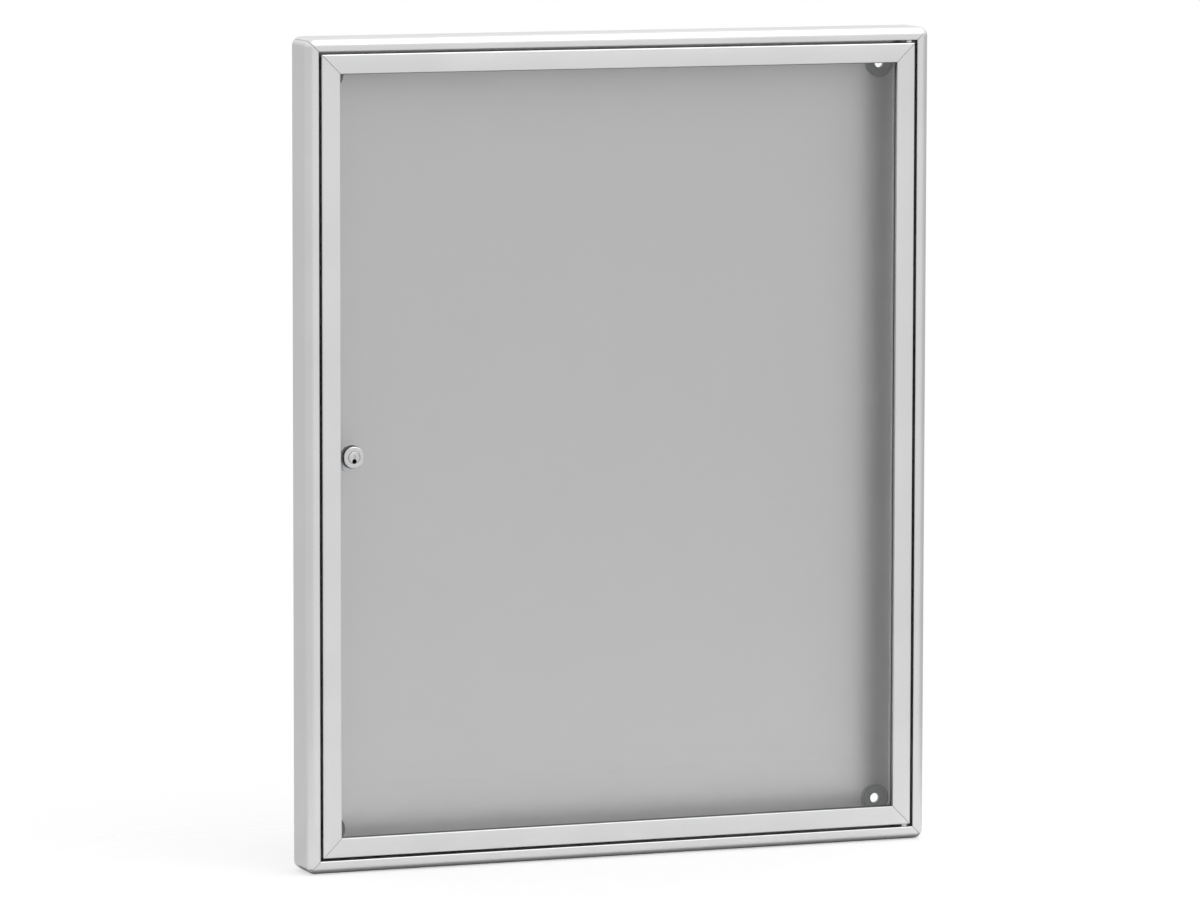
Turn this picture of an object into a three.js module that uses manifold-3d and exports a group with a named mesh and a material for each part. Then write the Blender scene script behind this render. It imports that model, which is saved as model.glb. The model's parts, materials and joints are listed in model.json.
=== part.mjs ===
// A lockable notice board that hangs on a wall. A shallow case of mitred aluminium profiles holds a sheet
// steel back panel, and a glazed door swings on two pivots at its right and closes with a cam lock that
// passes through its glass at the left.
// Sizes are in millimetres. X runs to the right, Z runs up and the front faces -Y. The wall plane is y = 0,
// and the origin is the middle of the board on that plane.
// A section is drawn with "inward", the distance from the board's outer face towards its middle, and
// "forward", the distance from the wall towards the front.
import * as THREE from "three";
import { mergeVertices } from "three/addons/utils/BufferGeometryUtils.js";
import Module from "manifold-3d";

const wasm = await Module();
wasm.setup();

// The whole board
const boardWidth = 800;
const boardHeight = 1000;
const boardDepth = 55;

// Clearances: a piece keeps seatGap to what it rests on, and runGap to what it turns past
const seatGap = 0.3;
const runGap = 0.5;
const mitreGap = 0.15;
const overrun = 5;

// Case profile
const outerWall = 4;
const frontWall = 3.2;
const profileWall = 2;
const frontEdgeRadius = 9;
const cornerRadius = 11;
const rearEdgeRadius = 1.5;
const lipWidth = 16;
const lipEdgeRadius = 1;
const rearFlange = 1.7;
const grooveDepth = 5;
const caseCleatLeg = 60;

// Back panel and the four sleeves that the wall screws pass through
const panelThickness = 1.5;
const panelEdgeGap = 0.5;
const sleeveFlangeRadius = 18;
const sleeveFlangeThickness = 2.5;
const sleeveBodyRadius = 9.5;
const sleeveBoreRadius = 6;
const sleeveRingRadius = 10;
const sleeveRingDepth = 1;
const sleeveEdgeChamfer = 0.8;
const sleeveMargin = 1;

// Door frame
const doorGap = 3;
const doorFaceWidth = 23.5;
const doorThickness = 21;
const doorEdgeRadius = 1.2;
const doorRearChamfer = 3;
const doorWall = 2;
const rimWidth = 9.5;
const rimThickness = 5.8;
const doorCleatLeg = 45;

// Glass, the gasket in front of it and the beads behind it
const glassThickness = 4;
const glassEdgeGap = 1;
const gasketThickness = 0.6;
const gasketShow = 0.8;
const beadInset = 1;
const beadSetback = 1;
const beadChamfer = 3.5;

// Seal on the shoulder of the case
const sealWidth = 4;
const sealHeight = 3.1;
const sealMargin = 0.5;
const sealClearance = 0.8;

// Door pivots
const hingeInset = 6;
const hingeSetback = 6.8;
const pinRadius = 2;
const pinLength = 12;
const pinTip = 0.5;
const pivotFlangeRadius = 4.8;
const studRadius = 1.8;
const studLength = 6;
const insertWall = 0.9;
const insertLength = 8;
const bushWall = 0.9;
const bushLength = 14;
const pinClearance = 0.2;

// Cam lock
const lockInset = 17.5;
const lockFlangeRadius = 13;
const lockFlangeThickness = 2.5;
const lockFlangeRound = 1.2;
const barrelRadius = 9.8;
const plugRadius = 7.2;
const plugProud = 0.4;
const plugEdge = 0.5;
const plugClearance = 0.25;
const glassHoleGap = 0.7;
const lockGasketThickness = 0.8;
const lockGasketInset = 0.6;
const washerRadius = 14;
const washerThickness = 3;
const nutAcrossFlats = 24;
const nutThickness = 5;
const keywayWidth = 2.4;
const keywayRise = 2.6;
const keywayDepth = 12;
const keyholeRadius = 2.2;
const keyholeDrop = 3.9;
const shutterThickness = 0.4;
const shutterSetback = 0.6;
const tailWidth = 7;
const camStudRadius = 3;
const camStudLength = 5.5;

// Cam, its nut and the strike that it closes behind
const camWidth = 14;
const camThickness = 2.5;
const camReach = 20;
const camNutAcrossFlats = 10;
const camNutThickness = 3;
const strikeThickness = 2;
const strikeEngagement = 8;
const strikeHeight = 40;
const strikePanelGap = 6.3;
const strikeScrewInset = 8;
const screwRadius = 1.9;
const screwHeadRadius = 3.6;
const screwHeadHeight = 2.2;
const screwHeadRound = 0.8;
const screwLength = 9;
const screwSlotWidth = 0.9;
const screwSlotDepth = 1;

// How finely rounds are drawn
const smallArcSteps = 3;
const largeArcSteps = 8;
const turnedSteps = 32;
const smallTurnedSteps = 20;

// Distances inwards from the board's outer face
const doorInset = lipWidth + doorGap;
const sightInset = doorInset + doorFaceWidth;
const rebateInset = sightInset - rimWidth;
const profileWidth = doorInset + doorRearChamfer + sealWidth + sealMargin;
const fixingInset = profileWidth + sleeveFlangeRadius + sleeveMargin;

// Distances forward from the wall
const panelBack = rearFlange + seatGap;
const panelFront = panelBack + panelThickness;
const grooveTop = panelFront + seatGap;
const doorBack = boardDepth - doorThickness;
const shoulder = doorBack - sealClearance - sealHeight - seatGap;
const rimBack = boardDepth - rimThickness;
const gasketBack = rimBack - seatGap - gasketThickness;
const glassFront = gasketBack - seatGap;
const glassBack = glassFront - glassThickness;
const strikeBack = shoulder - strikeThickness;
const strikeDepth = shoulder - panelFront - strikePanelGap;
const strikeScrewSpacing = strikeHeight - 2 * strikeScrewInset;
const camFront = strikeBack - runGap;
const camBack = camFront - camThickness;
const barrelEnd = camFront + seatGap;
const lockFlangeBack = glassFront + seatGap + lockGasketThickness + seatGap;
const lockFlangeFront = lockFlangeBack + lockFlangeThickness;
const plugFront = lockFlangeFront + plugProud;

// Places on the board
const hingeX = boardWidth / 2 - doorInset - hingeInset;
const hingeForward = boardDepth - hingeSetback;
const lockX = -(boardWidth / 2 - sightInset - lockInset);
const strikeReach = sightInset + lockInset - profileWidth - camReach + strikeEngagement;

// Finishes
function finish(color, roughness, metalness) {
  return new THREE.MeshStandardMaterial({ color, roughness, metalness });
}
const anodised = finish("#c9cacb", 0.45, 0.9);
const castAluminium = finish("#a9abad", 0.6, 0.8);
const panelSheet = finish("#b9bbbd", 0.4, 0.6);
const greyPlastic = finish("#6e7072", 0.6, 0);
const blackRubber = finish("#232425", 0.8, 0);
const clearGlass = finish("#dfe9e6", 0.05, 0);
const chromed = finish("#d5d6d8", 0.2, 1);
const zincPlated = finish("#b4b7ba", 0.4, 0.9);
const blackPlastic = finish("#1d1e1f", 0.5, 0);
const whiteNylon = finish("#dcdad2", 0.5, 0);

// Outlines
const at = (inward, forward) => new THREE.Vector2(inward, forward);

// Points along a round, from one angle to the other, both ends included.
function round(centreX, centreY, radius, fromAngle, toAngle, steps) {
  return Array.from({ length: steps + 1 }, (_, i) => {
    const angle = fromAngle + ((toAngle - fromAngle) * i) / steps;
    return at(centreX + radius * Math.cos(angle), centreY + radius * Math.sin(angle));
  });
}

function circle(centreX, centreY, radius, steps) {
  return round(centreX, centreY, radius, 0, 2 * Math.PI, steps).slice(0, -1);
}

function rectangle(left, right, low, high) {
  return [at(left, low), at(right, low), at(right, high), at(left, high)];
}

// A regular hexagon with its flats acrossFlats apart.
function hexagon(acrossFlats) {
  return circle(0, 0, acrossFlats / Math.sqrt(3), 6);
}

function area(outline, ...holes) {
  const shape = new THREE.Shape(outline);
  shape.holes = holes.map((hole) => new THREE.Path(hole));
  return shape;
}

// Solids and geometries
function toSolid(geometry) {
  const bare = geometry.clone();
  bare.deleteAttribute("normal");
  bare.deleteAttribute("uv");
  const merged = mergeVertices(bare);
  return new wasm.Manifold(
    new wasm.Mesh({
      numProp: 3,
      vertProperties: merged.attributes.position.array,
      triVerts: new Uint32Array(merged.index.array),
    }),
  );
}

function toGeometry(solid) {
  const mesh = solid.getMesh();
  const geometry = new THREE.BufferGeometry();
  geometry.setAttribute("position", new THREE.BufferAttribute(mesh.vertProperties, 3));
  geometry.setIndex(new THREE.BufferAttribute(mesh.triVerts, 1));
  geometry.computeVertexNormals();
  return geometry;
}

function cut(geometry, ...cutters) {
  return toGeometry(cutters.reduce((left, cutter) => left.subtract(toSolid(cutter)), toSolid(geometry)));
}

function join(geometry, ...others) {
  return toGeometry(others.reduce((whole, other) => whole.add(toSolid(other)), toSolid(geometry)));
}

// A flat outline in X and Z, made solid from one distance forward of the wall to another.
function slab(shape, backForward, frontForward) {
  const plate = new THREE.ExtrudeGeometry(shape, { depth: frontForward - backForward, bevelEnabled: false });
  return plate.rotateX(Math.PI / 2).translate(0, -backForward, 0);
}

// A piece turned about the Y axis, from points of its radius and its distance forward of the wall. The
// points run round the piece from its inside at the back to its outside and forward.
function turned(profile, steps = turnedSteps) {
  const points = profile.map(([radius, forward]) => at(radius, -forward));
  return new THREE.LatheGeometry(points.reverse(), steps);
}

// A sleeve or washer: a ring of one section.
function ring(boreRadius, outerRadius, backForward, frontForward, steps) {
  return turned(
    [
      [boreRadius, backForward],
      [outerRadius, backForward],
      [outerRadius, frontForward],
      [boreRadius, frontForward],
      [boreRadius, backForward],
    ],
    steps,
  );
}

function rod(radius, backForward, frontForward, steps) {
  return turned(
    [
      [0, backForward],
      [radius, backForward],
      [radius, frontForward],
      [0, frontForward],
    ],
    steps,
  );
}

// A member of a rectangular frame, along X with its outer face up at z = 0 and both ends mitred.
function mitredMember(section, length) {
  const member = new THREE.ExtrudeGeometry(section, { depth: 1, bevelEnabled: false });
  const corners = member.attributes.position;
  for (let i = 0; i < corners.count; i++) {
    const inward = corners.getX(i);
    const side = corners.getZ(i) > 0 ? -1 : 1;
    corners.setXYZ(i, side * (length / 2 - inward - mitreGap), -corners.getY(i), -inward);
  }
  return member;
}

// Placing
function mesh(name, geometry, material) {
  const piece = new THREE.Mesh(geometry, material);
  piece.name = name;
  return piece;
}

// The four sides of the board, each with the length of its members and the group that turns them there.
function sideGroup(x, z, turn) {
  const group = new THREE.Group();
  group.position.set(x, 0, z);
  group.rotation.y = turn;
  return group;
}
function sides() {
  return [
    { side: "top", length: boardWidth, group: sideGroup(0, boardHeight / 2, 0) },
    { side: "right", length: boardHeight, group: sideGroup(boardWidth / 2, 0, Math.PI / 2) },
    { side: "bottom", length: boardWidth, group: sideGroup(0, -boardHeight / 2, Math.PI) },
    { side: "left", length: boardHeight, group: sideGroup(-boardWidth / 2, 0, -Math.PI / 2) },
  ];
}

// The four corners, each with the group that turns a corner piece there. The piece is drawn for the upper
// left corner, with its legs along +X and -Z.
function corners() {
  return [
    { corner: "upper_left", group: sideGroup(-boardWidth / 2, boardHeight / 2, 0) },
    { corner: "upper_right", group: sideGroup(boardWidth / 2, boardHeight / 2, Math.PI / 2) },
    { corner: "lower_right", group: sideGroup(boardWidth / 2, -boardHeight / 2, Math.PI) },
    { corner: "lower_left", group: sideGroup(-boardWidth / 2, -boardHeight / 2, -Math.PI / 2) },
  ];
}

// Case profiles
function caseSection() {
  const outline = [
    ...round(rearEdgeRadius, rearEdgeRadius, rearEdgeRadius, 1.5 * Math.PI, Math.PI, smallArcSteps),
    ...round(
      frontEdgeRadius,
      boardDepth - frontEdgeRadius,
      frontEdgeRadius,
      Math.PI,
      Math.PI / 2,
      largeArcSteps,
    ),
    ...round(
      lipWidth - lipEdgeRadius,
      boardDepth - lipEdgeRadius,
      lipEdgeRadius,
      Math.PI / 2,
      0,
      smallArcSteps,
    ),
    at(lipWidth, shoulder),
    at(profileWidth, shoulder),
    at(profileWidth, grooveTop),
    at(profileWidth - grooveDepth, grooveTop),
    at(profileWidth - grooveDepth, rearFlange),
    at(profileWidth, rearFlange),
    at(profileWidth, 0),
  ];
  const mainChamber = rectangle(
    outerWall,
    profileWidth - profileWall,
    grooveTop + profileWall,
    shoulder - profileWall,
  );
  const chamberRadius = frontEdgeRadius - outerWall;
  const lipChamber = [
    at(outerWall, shoulder),
    at(lipWidth - profileWall, shoulder),
    at(lipWidth - profileWall, boardDepth - frontWall),
    ...round(
      frontEdgeRadius,
      boardDepth - frontWall - chamberRadius,
      chamberRadius,
      Math.PI / 2,
      Math.PI,
      largeArcSteps,
    ),
  ];
  return area(outline, mainChamber, lipChamber);
}

// What the round grinding of a board corner takes from one end of a case member, -1 or 1: a square block less
// the profile's outer edges carried round the corner. Both reach past the profile at its back and front.
function cornerWaste(length, end) {
  const rear = cornerRadius - rearEdgeRadius;
  const front = cornerRadius - frontEdgeRadius;
  const rounds = [
    ...round(rear, rearEdgeRadius, rearEdgeRadius, 1.5 * Math.PI, 2 * Math.PI, smallArcSteps),
    ...round(front, boardDepth - frontEdgeRadius, frontEdgeRadius, 0, Math.PI / 2, largeArcSteps),
  ];
  const kept = turned([
    [0, -overrun],
    [rear, -overrun],
    ...rounds.map((edge) => [edge.x, edge.y]),
    [front, boardDepth + overrun],
    [0, boardDepth + overrun],
  ]);
  const start = end * (length / 2 - cornerRadius);
  const past = end * (length / 2 + overrun);
  const block = rectangle(Math.min(start, past), Math.max(start, past), -cornerRadius, overrun);
  const whole = slab(area(block), -2 * overrun, boardDepth + 2 * overrun);
  return cut(whole, kept.translate(start, 0, -cornerRadius));
}

// The hole for a pivot's threaded insert, through the lip near one end of the top or bottom profile.
function insertHole(x) {
  const radius = studRadius + pinClearance + insertWall + pinClearance;
  const hole = new THREE.CylinderGeometry(radius, radius, 2 * profileWall, smallTurnedSteps);
  return hole.rotateX(Math.PI / 2).translate(x, -hingeForward, -lipWidth + profileWall / 2);
}

// The holes for the strike's screws, through the inner wall of the left profile. Along this member X runs
// up the board.
function strikeHoles() {
  return [-1, 1].map((side) => {
    const radius = screwRadius + seatGap;
    const hole = new THREE.CylinderGeometry(radius, radius, 2 * profileWall, smallTurnedSteps);
    const forward = shoulder - strikeDepth / 2;
    hole.rotateX(Math.PI / 2);
    return hole.translate((side * strikeScrewSpacing) / 2, -forward, -profileWidth + profileWall / 2);
  });
}

function caseMember(side, length) {
  const bar = mitredMember(caseSection(), length);
  const rounded = cut(bar, ...[-1, 1].map((end) => cornerWaste(length, end)));
  if (side === "top") return cut(rounded, insertHole(hingeX));
  if (side === "bottom") return cut(rounded, insertHole(-hingeX));
  if (side === "left") return cut(rounded, ...strikeHoles());
  return rounded;
}

// A corner cleat: an angle that fills the chambers of two members, for a press fit at the mitre.
function cleatShape(outer, inner, leg) {
  return area([
    at(outer, -outer),
    at(leg, -outer),
    at(leg, -inner),
    at(inner, -inner),
    at(inner, -leg),
    at(outer, -leg),
  ]);
}

function caseCleat() {
  const outer = outerWall + seatGap;
  const inner = profileWidth - profileWall - seatGap;
  const back = grooveTop + profileWall + seatGap;
  const front = shoulder - profileWall - seatGap;
  return slab(cleatShape(outer, inner, caseCleatLeg), back, front);
}

// Back panel, in the groove of the four profiles, with a hole for each sleeve
function fixingPlaces() {
  const x = boardWidth / 2 - fixingInset;
  const z = boardHeight / 2 - fixingInset;
  return [
    { corner: "upper_left", x: -x, z },
    { corner: "upper_right", x, z },
    { corner: "lower_right", x, z: -z },
    { corner: "lower_left", x: -x, z: -z },
  ];
}

function backPanel() {
  const edge = profileWidth - grooveDepth + panelEdgeGap;
  const halfWidth = boardWidth / 2 - edge;
  const halfHeight = boardHeight / 2 - edge;
  const holes = fixingPlaces().map(({ x, z }) => circle(x, z, sleeveBodyRadius + seatGap, turnedSteps));
  const outline = rectangle(-halfWidth, halfWidth, -halfHeight, halfHeight);
  return slab(area(outline, ...holes), panelBack, panelFront);
}

// A wall fixing sleeve: its body passes through the panel to the wall, and its flange holds the panel.
function fixingSleeve() {
  const flangeBack = panelFront + seatGap;
  const flangeFront = flangeBack + sleeveFlangeThickness;
  return turned([
    [sleeveBoreRadius, 0],
    [sleeveBodyRadius, 0],
    [sleeveBodyRadius, flangeBack],
    [sleeveFlangeRadius, flangeBack],
    [sleeveFlangeRadius, flangeFront - sleeveEdgeChamfer],
    [sleeveFlangeRadius - sleeveEdgeChamfer, flangeFront],
    [sleeveRingRadius, flangeFront],
    [sleeveRingRadius, flangeFront - sleeveRingDepth],
    [sleeveBoreRadius, flangeFront - sleeveRingDepth],
    [sleeveBoreRadius, 0],
  ]);
}

// Door frame
function doorSection() {
  const outline = [
    at(doorInset + doorRearChamfer, doorBack),
    at(doorInset, doorBack + doorRearChamfer),
    ...round(
      doorInset + doorEdgeRadius,
      boardDepth - doorEdgeRadius,
      doorEdgeRadius,
      Math.PI,
      Math.PI / 2,
      smallArcSteps,
    ),
    ...round(
      sightInset - doorEdgeRadius,
      boardDepth - doorEdgeRadius,
      doorEdgeRadius,
      Math.PI / 2,
      0,
      smallArcSteps,
    ),
    at(sightInset, rimBack),
    at(rebateInset, rimBack),
    at(rebateInset, doorBack),
  ];
  const chamber = [
    at(doorInset + doorWall + chamberChamfer(), doorBack + doorWall),
    at(rebateInset - doorWall, doorBack + doorWall),
    at(rebateInset - doorWall, boardDepth - doorWall),
    at(doorInset + doorWall, boardDepth - doorWall),
    at(doorInset + doorWall, doorBack + doorWall + chamberChamfer()),
  ];
  return area(outline, chamber);
}

// The chamfer inside the door's chamber, a wall's thickness in from the one outside.
function chamberChamfer() {
  return doorRearChamfer - doorWall * (2 - Math.SQRT2);
}

// The hole for a pivot bush, through the outer wall of the top or bottom rail.
function bushHole(x) {
  const radius = bushRadius() + seatGap;
  const hole = new THREE.CylinderGeometry(radius, radius, 2 * doorWall, smallTurnedSteps);
  return hole.rotateX(Math.PI / 2).translate(x, -hingeForward, -doorInset - doorWall / 2);
}

function bushRadius() {
  return pinRadius + pinClearance + bushWall;
}

function doorMember(side, length) {
  const bar = mitredMember(doorSection(), length);
  if (side === "top") return cut(bar, bushHole(hingeX));
  if (side === "bottom") return cut(bar, bushHole(-hingeX));
  return bar;
}

function doorCleat(corner) {
  const outer = doorInset + doorWall + seatGap;
  const inner = rebateInset - doorWall - seatGap;
  const back = doorBack + doorWall + chamberChamfer() + seatGap;
  const front = boardDepth - doorWall - seatGap;
  const angle = slab(cleatShape(outer, inner, doorInset + doorCleatLeg), back, front);
  if (!corner.endsWith("right")) return angle;
  return cut(angle, cleatBore(corner));
}

// The bore for the pivot bush: it runs up and down the board, which is along X in the upper right corner's
// own frame and along Z in the lower right one's.
function cleatBore(corner) {
  const radius = bushRadius() + seatGap;
  const length = 2 * (doorInset + doorCleatLeg);
  const bore = new THREE.CylinderGeometry(radius, radius, length, smallTurnedSteps);
  const across = doorInset + hingeInset;
  if (corner === "upper_right") return bore.rotateZ(Math.PI / 2).translate(0, -hingeForward, -across);
  return bore.rotateX(Math.PI / 2).translate(across, -hingeForward, 0);
}

// Glazing
function glassPane() {
  const edge = rebateInset + glassEdgeGap;
  const halfWidth = boardWidth / 2 - edge;
  const halfHeight = boardHeight / 2 - edge;
  const hole = circle(lockX, 0, barrelRadius + glassHoleGap, turnedSteps);
  const outline = rectangle(-halfWidth, halfWidth, -halfHeight, halfHeight);
  return slab(area(outline, hole), glassBack, glassFront);
}

function gasketSection() {
  const front = gasketBack + gasketThickness;
  return area(rectangle(rebateInset + seatGap, sightInset + gasketShow, gasketBack, front));
}

function beadSection() {
  const outer = rebateInset + seatGap;
  const inner = sightInset - beadInset;
  const back = doorBack + beadSetback;
  const front = glassBack - seatGap;
  return area([
    at(outer, back),
    at(inner - beadChamfer, back),
    at(inner, back + beadChamfer),
    at(inner, front),
    at(outer, front),
  ]);
}

// A door seal: a strip with a rounded crown, on the shoulder of the case behind the door's edge.
function sealSection() {
  const outer = doorInset + doorRearChamfer;
  const crown = sealWidth / 2;
  const base = shoulder + seatGap;
  return area([
    at(outer, base),
    at(outer + sealWidth, base),
    ...round(outer + crown, base + sealHeight - crown, crown, 0, Math.PI, largeArcSteps),
  ]);
}

// Door pivots: a flanged pin whose stud screws into an insert in the lip, and a bush in the door. They are
// drawn upright with the door's outer edge at z = 0 and the case above it.
function pivotPin() {
  return turned(
    [
      [0, -pinLength],
      [pinRadius - pinTip, -pinLength],
      [pinRadius, -pinLength + pinTip],
      [pinRadius, seatGap],
      [pivotFlangeRadius, seatGap],
      [pivotFlangeRadius, doorGap - seatGap],
      [studRadius, doorGap - seatGap],
      [studRadius, doorGap + studLength],
      [0, doorGap + studLength],
    ],
    smallTurnedSteps,
  ).rotateX(-Math.PI / 2);
}

function pivotInsert() {
  const bore = studRadius + pinClearance;
  const insert = ring(bore, bore + insertWall, doorGap, doorGap + insertLength, smallTurnedSteps);
  return insert.rotateX(-Math.PI / 2);
}

function pivotBush() {
  return ring(pinRadius + pinClearance, bushRadius(), -bushLength, 0, smallTurnedSteps).rotateX(-Math.PI / 2);
}

// The upper pivot stands as drawn and the lower one is turned over.
function pivotGroups() {
  return [-1, 1].map((end) => {
    const group = new THREE.Group();
    group.position.set(hingeX, -hingeForward, end * (boardHeight / 2 - doorInset));
    group.rotation.x = end > 0 ? 0 : Math.PI;
    return { level: end > 0 ? "upper" : "lower", group };
  });
}

// Lock: every piece is turned about the lock's axis, which runs from front to back through the glass
function lockHousing() {
  const bore = plugRadius + plugClearance;
  return turned([
    [bore, barrelEnd],
    [barrelRadius, barrelEnd],
    [barrelRadius, lockFlangeBack],
    [lockFlangeRadius, lockFlangeBack],
    ...round(
      lockFlangeRadius - lockFlangeRound,
      lockFlangeFront - lockFlangeRound,
      lockFlangeRound,
      0,
      Math.PI / 2,
      smallArcSteps,
    ).map((edge) => [edge.x, edge.y]),
    [bore, lockFlangeFront],
    [bore, barrelEnd],
  ]);
}

function lockFrontGasket() {
  const back = glassFront + seatGap;
  const outer = lockFlangeRadius - lockGasketInset;
  return ring(barrelRadius + seatGap, outer, back, back + lockGasketThickness);
}

function lockRearWasher() {
  const front = glassBack - seatGap;
  return ring(barrelRadius + seatGap, washerRadius, front - washerThickness, front);
}

function lockNut() {
  const front = glassBack - seatGap - washerThickness - seatGap;
  const bore = circle(0, 0, barrelRadius + seatGap, turnedSteps);
  return slab(area(hexagon(nutAcrossFlats), bore), front - nutThickness, front);
}

// The keyway: a slot that rises above the axis and ends below it in a round hole.
function keywayOutline() {
  const half = keywayWidth / 2;
  const spread = Math.asin(half / keyholeRadius);
  const hole = round(
    0,
    -keyholeDrop,
    keyholeRadius,
    Math.PI / 2 + spread,
    2.5 * Math.PI - spread,
    2 * largeArcSteps,
  );
  return [at(half, keywayRise), at(-half, keywayRise), ...hole];
}

// The plug turns in the housing. Behind it a square tail carries the cam and a stud its nut.
function lockPlug() {
  const body = turned([
    [0, barrelEnd],
    [plugRadius, barrelEnd],
    [plugRadius, plugFront - plugEdge],
    [plugRadius - plugEdge, plugFront],
    [0, plugFront],
  ]);
  const half = tailWidth / 2;
  const tail = slab(area(rectangle(-half, half, -half, half)), camBack + seatGap, barrelEnd + overrun);
  const stud = rod(camStudRadius, camBack - camStudLength, barrelEnd + overrun, smallTurnedSteps);
  const keyway = slab(area(keywayOutline()), plugFront - keywayDepth, plugFront + overrun);
  return cut(join(body, tail, stud), keyway);
}

// The dust shutter fills the slot of the keyway just behind the plug's face and leaves its round hole open.
function keywayShutter() {
  const half = keywayWidth / 2 - seatGap;
  const low = keyholeRadius - keyholeDrop;
  const front = plugFront - shutterSetback;
  const outline = rectangle(-half, half, low, keywayRise - seatGap);
  return slab(area(outline), front - shutterThickness, front);
}

// The cam hangs down when the lock is open. A quarter turn takes it to the left, behind the strike.
function lockCam() {
  const half = camWidth / 2;
  const hole = tailWidth / 2 + seatGap;
  const outline = [
    ...round(0, 0, half, 0, Math.PI, largeArcSteps),
    ...round(0, half - camReach, half, Math.PI, 2 * Math.PI, largeArcSteps),
  ];
  return slab(area(outline, rectangle(-hole, hole, -hole, hole)), camBack, camFront);
}

function camNut() {
  const front = camBack - seatGap;
  const bore = circle(0, 0, camStudRadius + seatGap, smallTurnedSteps);
  return slab(area(hexagon(camNutAcrossFlats), bore), front - camNutThickness, front);
}

// Strike: an angle on the inner wall of the left profile, with its flange in front of the closed cam. It is
// drawn with the wall at x = 0 and stands about the lock's height.
function lockStrike() {
  const wallSide = seatGap;
  const back = shoulder - strikeDepth;
  const outline = [
    at(wallSide, back),
    at(wallSide + strikeThickness, back),
    at(wallSide + strikeThickness, strikeBack),
    at(strikeReach, strikeBack),
    at(strikeReach, shoulder),
    at(wallSide, shoulder),
  ];
  const angle = new THREE.ExtrudeGeometry(area(outline), { depth: strikeHeight, bevelEnabled: false });
  angle.rotateX(Math.PI).translate(0, 0, strikeHeight / 2);
  const holes = [-1, 1].map((side) => {
    const radius = screwRadius + seatGap;
    const hole = new THREE.CylinderGeometry(radius, radius, 2 * strikeReach, smallTurnedSteps);
    hole.rotateZ(Math.PI / 2);
    return hole.translate(0, strikeDepth / 2 - shoulder, (side * strikeScrewSpacing) / 2);
  });
  return cut(angle, ...holes);
}

// A round-headed screw along X, its head's seat at x = 0 and its shank towards -X.
function roundHeadScrew() {
  const screw = turned(
    [
      [0, -screwLength],
      [screwRadius, -screwLength],
      [screwRadius, 0],
      [screwHeadRadius, 0],
      ...round(
        screwHeadRadius - screwHeadRound,
        screwHeadHeight - screwHeadRound,
        screwHeadRound,
        0,
        Math.PI / 2,
        smallArcSteps,
      ).map((edge) => [edge.x, edge.y]),
      [0, screwHeadHeight],
    ],
    smallTurnedSteps,
  );
  const slot = new THREE.BoxGeometry(screwSlotWidth, 2 * screwSlotDepth, 2 * screwHeadRadius + overrun);
  return cut(screw, slot.translate(0, -screwHeadHeight, 0)).rotateZ(Math.PI / 2);
}

// Assembly
function buildCase() {
  const group = new THREE.Group();
  for (const { side, length, group: place } of sides()) {
    place.add(mesh(`case_profile_${side}`, caseMember(side, length), anodised));
    place.add(mesh(`door_seal_${side}`, mitredMember(sealSection(), length), blackRubber));
    group.add(place);
  }
  for (const { corner, group: place } of corners()) {
    place.add(mesh(`case_cleat_${corner}`, caseCleat(), castAluminium));
    group.add(place);
  }
  group.add(mesh("back_panel", backPanel(), panelSheet));
  for (const { corner, x, z } of fixingPlaces()) {
    const sleeve = mesh(`wall_sleeve_${corner}`, fixingSleeve(), greyPlastic);
    sleeve.position.set(x, 0, z);
    group.add(sleeve);
  }
  for (const { level, group: place } of pivotGroups()) {
    place.add(mesh(`hinge_pin_${level}`, pivotPin(), chromed));
    place.add(mesh(`hinge_insert_${level}`, pivotInsert(), zincPlated));
    group.add(place);
  }
  const strikeGroup = new THREE.Group();
  strikeGroup.position.x = profileWidth - boardWidth / 2;
  strikeGroup.add(mesh("lock_strike", lockStrike(), zincPlated));
  for (const [level, side] of [
    ["lower", -1],
    ["upper", 1],
  ]) {
    const screw = mesh(`strike_screw_${level}`, roundHeadScrew(), zincPlated);
    const seat = seatGap + strikeThickness + seatGap;
    screw.position.set(seat, strikeDepth / 2 - shoulder, (side * strikeScrewSpacing) / 2);
    strikeGroup.add(screw);
  }
  group.add(strikeGroup);
  return group;
}

// A group that turns about a point, with an inner group whose pieces are placed in the board's own frame.
function turningGroup(x, y, z) {
  const pivot = new THREE.Group();
  const pieces = new THREE.Group();
  pivot.position.set(x, y, z);
  pieces.position.set(-x, -y, -z);
  pivot.add(pieces);
  return { pivot, pieces };
}

function buildDoor() {
  const { pivot, pieces } = turningGroup(hingeX, -hingeForward, 0);
  for (const { side, length, group: place } of sides()) {
    const kind = side === "left" || side === "right" ? "stile" : "rail";
    place.add(mesh(`door_${kind}_${side}`, doorMember(side, length), anodised));
    place.add(mesh(`glass_gasket_${side}`, mitredMember(gasketSection(), length), blackRubber));
    place.add(mesh(`glazing_bead_${side}`, mitredMember(beadSection(), length), greyPlastic));
    pieces.add(place);
  }
  for (const { corner, group: place } of corners()) {
    place.add(mesh(`door_cleat_${corner}`, doorCleat(corner), castAluminium));
    pieces.add(place);
  }
  for (const { level, group: place } of pivotGroups()) {
    place.add(mesh(`hinge_bush_${level}`, pivotBush(), whiteNylon));
    pieces.add(place);
  }
  pieces.add(mesh("door_glass", glassPane(), clearGlass));
  const lock = new THREE.Group();
  lock.position.x = lockX;
  lock.add(mesh("lock_housing", lockHousing(), chromed));
  lock.add(mesh("lock_front_gasket", lockFrontGasket(), blackRubber));
  lock.add(mesh("lock_rear_washer", lockRearWasher(), blackPlastic));
  lock.add(mesh("lock_nut", lockNut(), zincPlated));
  lock.add(buildLockRotor());
  pieces.add(lock);
  return pivot;
}

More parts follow.
